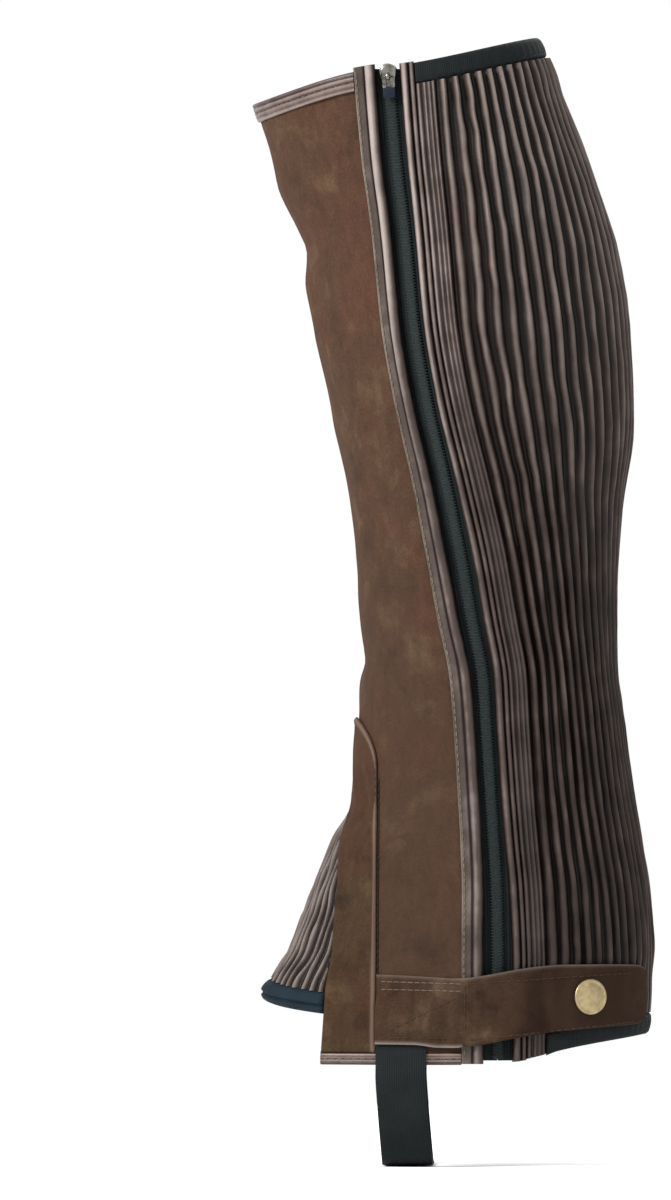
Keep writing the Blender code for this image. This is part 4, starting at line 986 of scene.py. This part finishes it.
def strap_lift(angle, height):
    top, _, lift = strap.at(angle)
    low = ease((top - OVER_STIRRUP_BELOW - height) / 7.0)
    near_stirrup = low * (1 - ease((angle - OVER_STIRRUP_ANGLE) / 4.0))
    return np.maximum(lift, lift + (ON_PANEL + STIRRUP_THICK + 2 * SEAM - lift) * near_stirrup)


def strap_out(angle, height):
    return strap_lift(angle, height) + OVERLAY


def snap_strap():
    def spot(down, across):
        angle = STRAP_START + (STRAP_END - STRAP_START) * across
        for _ in range(MOVED_ROUNDS):
            top, bottom, _ = strap.at(angle)
            height = top + (bottom - top) * down
            start = walk(overlay_rear(height), height, SEAM)
            angle = start + (STRAP_END - start) * across
        return angle, height

    def folds(down, across, angle, height):
        deep = creases(STRAP_FOLDS, angle, height) + 0.15 * noise(angle / 4, height / 7, 51)
        return deep * ease(across * 16) * ease((1 - across) * 16) * ease(down * 9) * ease((1 - down) * 9)

    def low(*spot):
        return strap_lift(*spot[2:]) + 0.5 * np.minimum(folds(*spot), 0)

    def high(down, across, angle, height):
        rim = 0.25 * np.exp(-(np.minimum(down, 1 - down) * 30 - 1.3) ** 2 / 0.8)
        return strap_out(angle, height) + folds(down, across, angle, height) + rim

    # Paler edges, faint along the top and strong along the lower edge in front: partly the cut edge's own
    # colour and partly a painted highlight
    def painted_highlight(down, across, angle, height):
        upper, lower = near_edge(1 - down, STRAP_HEIGHT), near_edge(down, STRAP_HEIGHT)
        return np.maximum(0.2 * upper, 0.9 * lower * (angle < STRAP_PALE_UP_TO))

    return grid_wall("strap", (112, STRAP_HEIGHT), (130, 34), spot, low, high, STRAP_SUEDE, "snap_strap",
                     painted_highlight)


def snap_cap():
    angle = outer_angle(SNAP_HEIGHT, SNAP_X, SNAP_LIFT + OVERLAY)
    outward = Vector(form_frame(angle, SNAP_HEIGHT)[1])
    origin = form_point(angle, SNAP_HEIGHT, strap_out(angle, SNAP_HEIGHT) + SEAM)
    # Radius and height above the strap
    profile = ((6.9, -0.1), (7.3, 0.1), (7.5, 0.5), (7.5, 0.85), (7.3, 1.15), (6.95, 1.32), (6.55, 1.34),
               (6.25, 1.25), (6.0, 1.24), (5.6, 1.36), (4.6, 1.62), (3.3, 1.86), (2.0, 2.0), (0.8, 2.08))
    turn = np.arange(SNAP_SIDES) * math.tau / SNAP_SIDES
    rings = [np.column_stack((r * np.cos(turn), r * np.sin(turn), np.full(SNAP_SIDES, z)))
             for r, z in profile]
    assembled("snap", [lofted(rings)], axes(Vector((0, 0, 1)), outward, origin), BRASS, "snap_cap", sharp=60)


# Height and distance out, down the stirrup's outer end over the shin and its inner end behind it
OUTER_TUCK = ((-268.5, 2.55), (-277.6, 2.55), (-280.2, 3.8), (-286.2, 3.8))
INNER_TUCK = ((-270.0, -2.2), (-278.0, -2.2), (-286.2, -2.2))
# Height, share of the hem's half width, and shift to the back, from the hem to under the foot
STIRRUP_LOOP = ((-292.0, 0.995, 0.0), (-301.0, 0.96, 0.6), (-310.0, 0.90, 1.3), (-318.0, 0.82, 2.0),
                (-323.6, 0.72, 2.5), (-326.6, 0.58, 2.8), (-327.6, 0.36, 3.0))


def stirrup():
    """Elastic band from under the strap, under the foot, to behind the inner hem."""
    part = np.linspace(0, 1, STIRRUP_POINTS)

    def half(tuck, side):
        rows = []
        for height, out in tuck:
            start = walk(overlay_rear(height), height, SEAM)
            end = walk(start, height, STIRRUP_WIDTH)
            rows.append(form_point(side * (start + (end - start) * part), height, out))
        return rows + [rows[-1] * (1, reach, 0) + (shift, 0, height) for height, reach, shift in STIRRUP_LOOP]

    outer, inner = half(OUTER_TUCK, 1), half(INNER_TUCK, -1)
    rows = np.array(outer + [(outer[-1] + inner[-1]) / 2] + inner[::-1])
    fine = soft_curve(np.concatenate((rows[:1], rows, rows[-1:])), STIRRUP_STEPS)
    rows = np.concatenate((fine, rows[-1:]))
    along = np.gradient(rows, axis=0)
    away = unit(np.stack((np.zeros(along.shape[:2]), along[..., 2], -along[..., 1]), -1))
    thick = STIRRUP_THICK / 2 * (1 - np.maximum(np.abs(2 * part - 1) - 0.86, 0) * 5)
    ripple = 0.05 * np.cos(part * math.tau * 9)
    upper, lower = rows + away * (thick + ripple)[:, None], rows - away * (thick - ripple)[:, None]
    return strip("stirrup_band", np.concatenate((upper, lower[:, ::-1]), 1), ELASTIC, "stirrup", 0.0, 60)


# Stitching

# Stitches on the strap: x and height of both ends
PALE_ROWS = ((-42.4, -250.6, -7, -251.6), (-42.4, -253.9, -7, -254.6))
FAINT_ROWS = (
    (-7, -252, -7, -274), (-41.5, -256, -8, -272.6), (-8, -256, -41.5, -272.6),
    (-41.5, -273.8, -8, -274.6), (-5, -251.4, 64, -247.0), (-5, -274.9, 64, -267.4),
)
ON_BINDING, LINE_POINTS, STRAP_LINE_POINTS = 2.85, 200, 80
# Top and foot of the painted shadow line along the overlay's rear edge
OVERLAY_SHADOW_TOP, OVERLAY_SHADOW_FOOT = -166.0, -278.5


def stitched(name, lines, look, length=2.6, gap=0.8, radius=0.3):
    """Stitches along lines of points and outward directions."""
    starts, ends = [], []
    for line in lines:
        run = np.append(0.0, np.linalg.norm(np.diff(line[:, :3], axis=0), axis=1).cumsum())
        begin = np.arange(run[-1] // (length + gap)) * (length + gap)
        for made, distance in ((starts, begin), (ends, begin + length)):
            made.append(np.stack([np.interp(distance, run, column) for column in line.T], -1))
    starts, ends = np.vstack(starts), np.vstack(ends)
    rods(name, starts[:, :3], ends[:, :3], starts[:, 3:], radius, look)


def line_on(angle, height, out):
    return np.hstack((form_point(angle, height, out), form_frame(angle, height)[1]))


def stitching():
    part = np.linspace(0, 1, LINE_POINTS)

    def along_edge(line, start, end, above, out=ON_BINDING):
        column = between(start, end, part)
        level = meet(line, column, above)
        return line_on(column(level), level, out)

    def beside(line, distance, out, top_gap, foot_gap):
        column = offset(line, distance)
        height = down_to_hem(column, part, top_gap, foot_gap)
        return line_on(column(height), height, out)

    def on_strap(x0, z0, x1, z1):
        x, height = np.linspace((x0, z0), (x1, z1), STRAP_LINE_POINTS).T
        angle = outer_angle(height, x, 4.0)
        return line_on(angle, height, strap_out(angle, height) + creases(STRAP_FOLDS, angle, height) + 0.15)

    def on_overlay(start, end, inset=2.4):
        along = start + (end - start) * part
        inner, rim = (form_point(*overlay_spot(along, over)) for over in (0.0, 1.0))
        over = 1 - inset / np.maximum(np.linalg.norm(rim - inner, axis=-1), 6.0)
        return line_on(*overlay_spot(along, over), ON_PANEL + OVERLAY + 0.1)

    brown = [
        along_edge(top_line, beside_zip, inner_seam, -4.6),
        along_edge(hem_line, beside_zip, arch_line(1), 2.6),
        along_edge(hem_line, arch_line(-1), inner_seam, 2.6),
        beside(zip_rear, 4.1, 2.75, 0.5, 1.5),
        beside(inner_seam, 3.0, SUEDE + 0.1, 9.5, 6.5),
    ]
    olive = [beside(zip_front, -FRONT_BINDING_WIDTH + 1.0, ON_BINDING, 0.5, 1.5)]
    # An unbroken near-black line beside the overlay's rear edge, on both sides, which paints the shadow the
    # edge casts on the shin
    height = np.linspace(OVERLAY_SHADOW_TOP, OVERLAY_SHADOW_FOOT, LINE_POINTS)
    shadow_lines = [line_on(side * offset(overlay_rear, 0.5)(height), height, SUEDE + 0.1) for side in (1, -1)]
    faint = [on_overlay(0.01, 0.49), on_overlay(0.51, 0.99)] + [on_strap(*row) for row in FAINT_ROWS]
    hem = instep_hem(part) + ELASTIC_BAND - 1.5
    dark = [
        along_edge(top_line, calf_edge, calf_seam, -ELASTIC_BAND + 1.6, 2.45),
        along_edge(hem_line, calf_edge, calf_seam, ELASTIC_BAND - 1.6, 2.45),
        line_on((2 * part - 1) * arch_angle(hem, -1), hem, 3.4),
    ]
    stitched("leather_stitches", brown, BROWN_THREAD)
    stitched("strap_stitches", [on_strap(*row) for row in PALE_ROWS], PALE_THREAD, 2.5, 0.45, 0.26)
    stitched("zip_stitches", olive, OLIVE_THREAD, 2.4, 0.7)
    stitched("overlay_shadow_line", shadow_lines, SHADOW_LINE_THREAD, 3.0, 0.05, 0.5)
    stitched("suede_stitches", faint, FAINT_THREAD, 2.4, 0.8, 0.22)
    stitched("elastic_stitches", dark, DARK_THREAD, 2.0, 1.2, 0.26)


# All the pieces

shin = shin_panel()
overlay = lower_overlay()
ribs = calf_panel()
instep_ribs = instep_panel()
elastic_edges()
edge_bindings()
front_edge, piping = zip_bindings()
zip_tape("tape_front", "zip_tape_front", -1, shin_edge)
zip_tape("tape_rear", "zip_tape_rear", 1, zip_rear)
zip_coil()
slider()
pull_tab()
strap_piece = snap_strap()
snap_cap()
band = stirrup()
stitching()
# The strap covers these two, which stay as the CAD has them
for hidden in ("snap_socket", "snap_stud"):
    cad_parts[hidden].material_slots[0].material = BRASS.material

# Camera, lights and floor

# The picture's middle and the sensor in millimetres, the rest in metres
PICTURE_MIDDLE = (-61.1, 0, -91.1)
PICTURE_HEIGHT, DISTANCE, SENSOR, FAR_END = 0.504, 10.0, 36.0, 100.0
# name, place, width and height, power
LIGHTS = (
    ("key", (-1.6, -1.5, 1.2), (0.55, 0.75), 95),
    ("fill", (1.4, -1.8, 0.5), (1.2, 1.4), 8),
    ("back", (0.6, 1.8, 1.2), (1.2, 1.0), 28),
)
FLOOR_LEVEL, FLOOR_REACH = cad_box[0][2] - 0.0002, 1.2

aim = Vector(PICTURE_MIDDLE) * MM
camera = add_object("camera", bpy.data.cameras.new("camera"))
camera.data.sensor_width = SENSOR
camera.data.lens = SENSOR * DISTANCE / PICTURE_HEIGHT
camera.data.clip_end = FAR_END
camera.location = aim + Vector((0, -DISTANCE, 0))
camera.rotation_euler = (math.radians(90), 0, 0)
bpy.context.scene.camera = camera

for name, place, size, power in LIGHTS:
    light = add_object(name, bpy.data.lights.new(name, "AREA"))
    light.data.shape = "RECTANGLE"
    light.data.size, light.data.size_y = size
    light.data.energy = power
    light.location = place
    light.rotation_euler = (aim - Vector(place)).to_track_quat("-Z", "Y").to_euler()

world = bpy.data.worlds.new("studio")
world.use_nodes = True
background = world.node_tree.nodes["Background"]
background.inputs["Color"].default_value = (1, 1, 1, 1)
background.inputs["Strength"].default_value = 1.0
bpy.context.scene.world = world
bpy.context.scene.view_settings.view_transform = "Standard"

floor_look = Shader("pale_floor", None, Roughness=0.7, Specular_IOR_Level=0.2)
floor_look.set("Base Color", floor_look.ramp(floor_look.noise(3.0), (0.3, 0.9), (0.7, 0.92)))
floor_mesh = bpy.data.meshes.new("floor")
floor_mesh.from_pydata([(x * FLOOR_REACH, y * FLOOR_REACH, FLOOR_LEVEL)
                        for x, y in ((-1, -1), (1, -1), (1, 1), (-1, 1))], [], [(0, 1, 2, 3)])
floor_mesh.materials.append(floor_look.material)
floor = add_object("floor", floor_mesh)
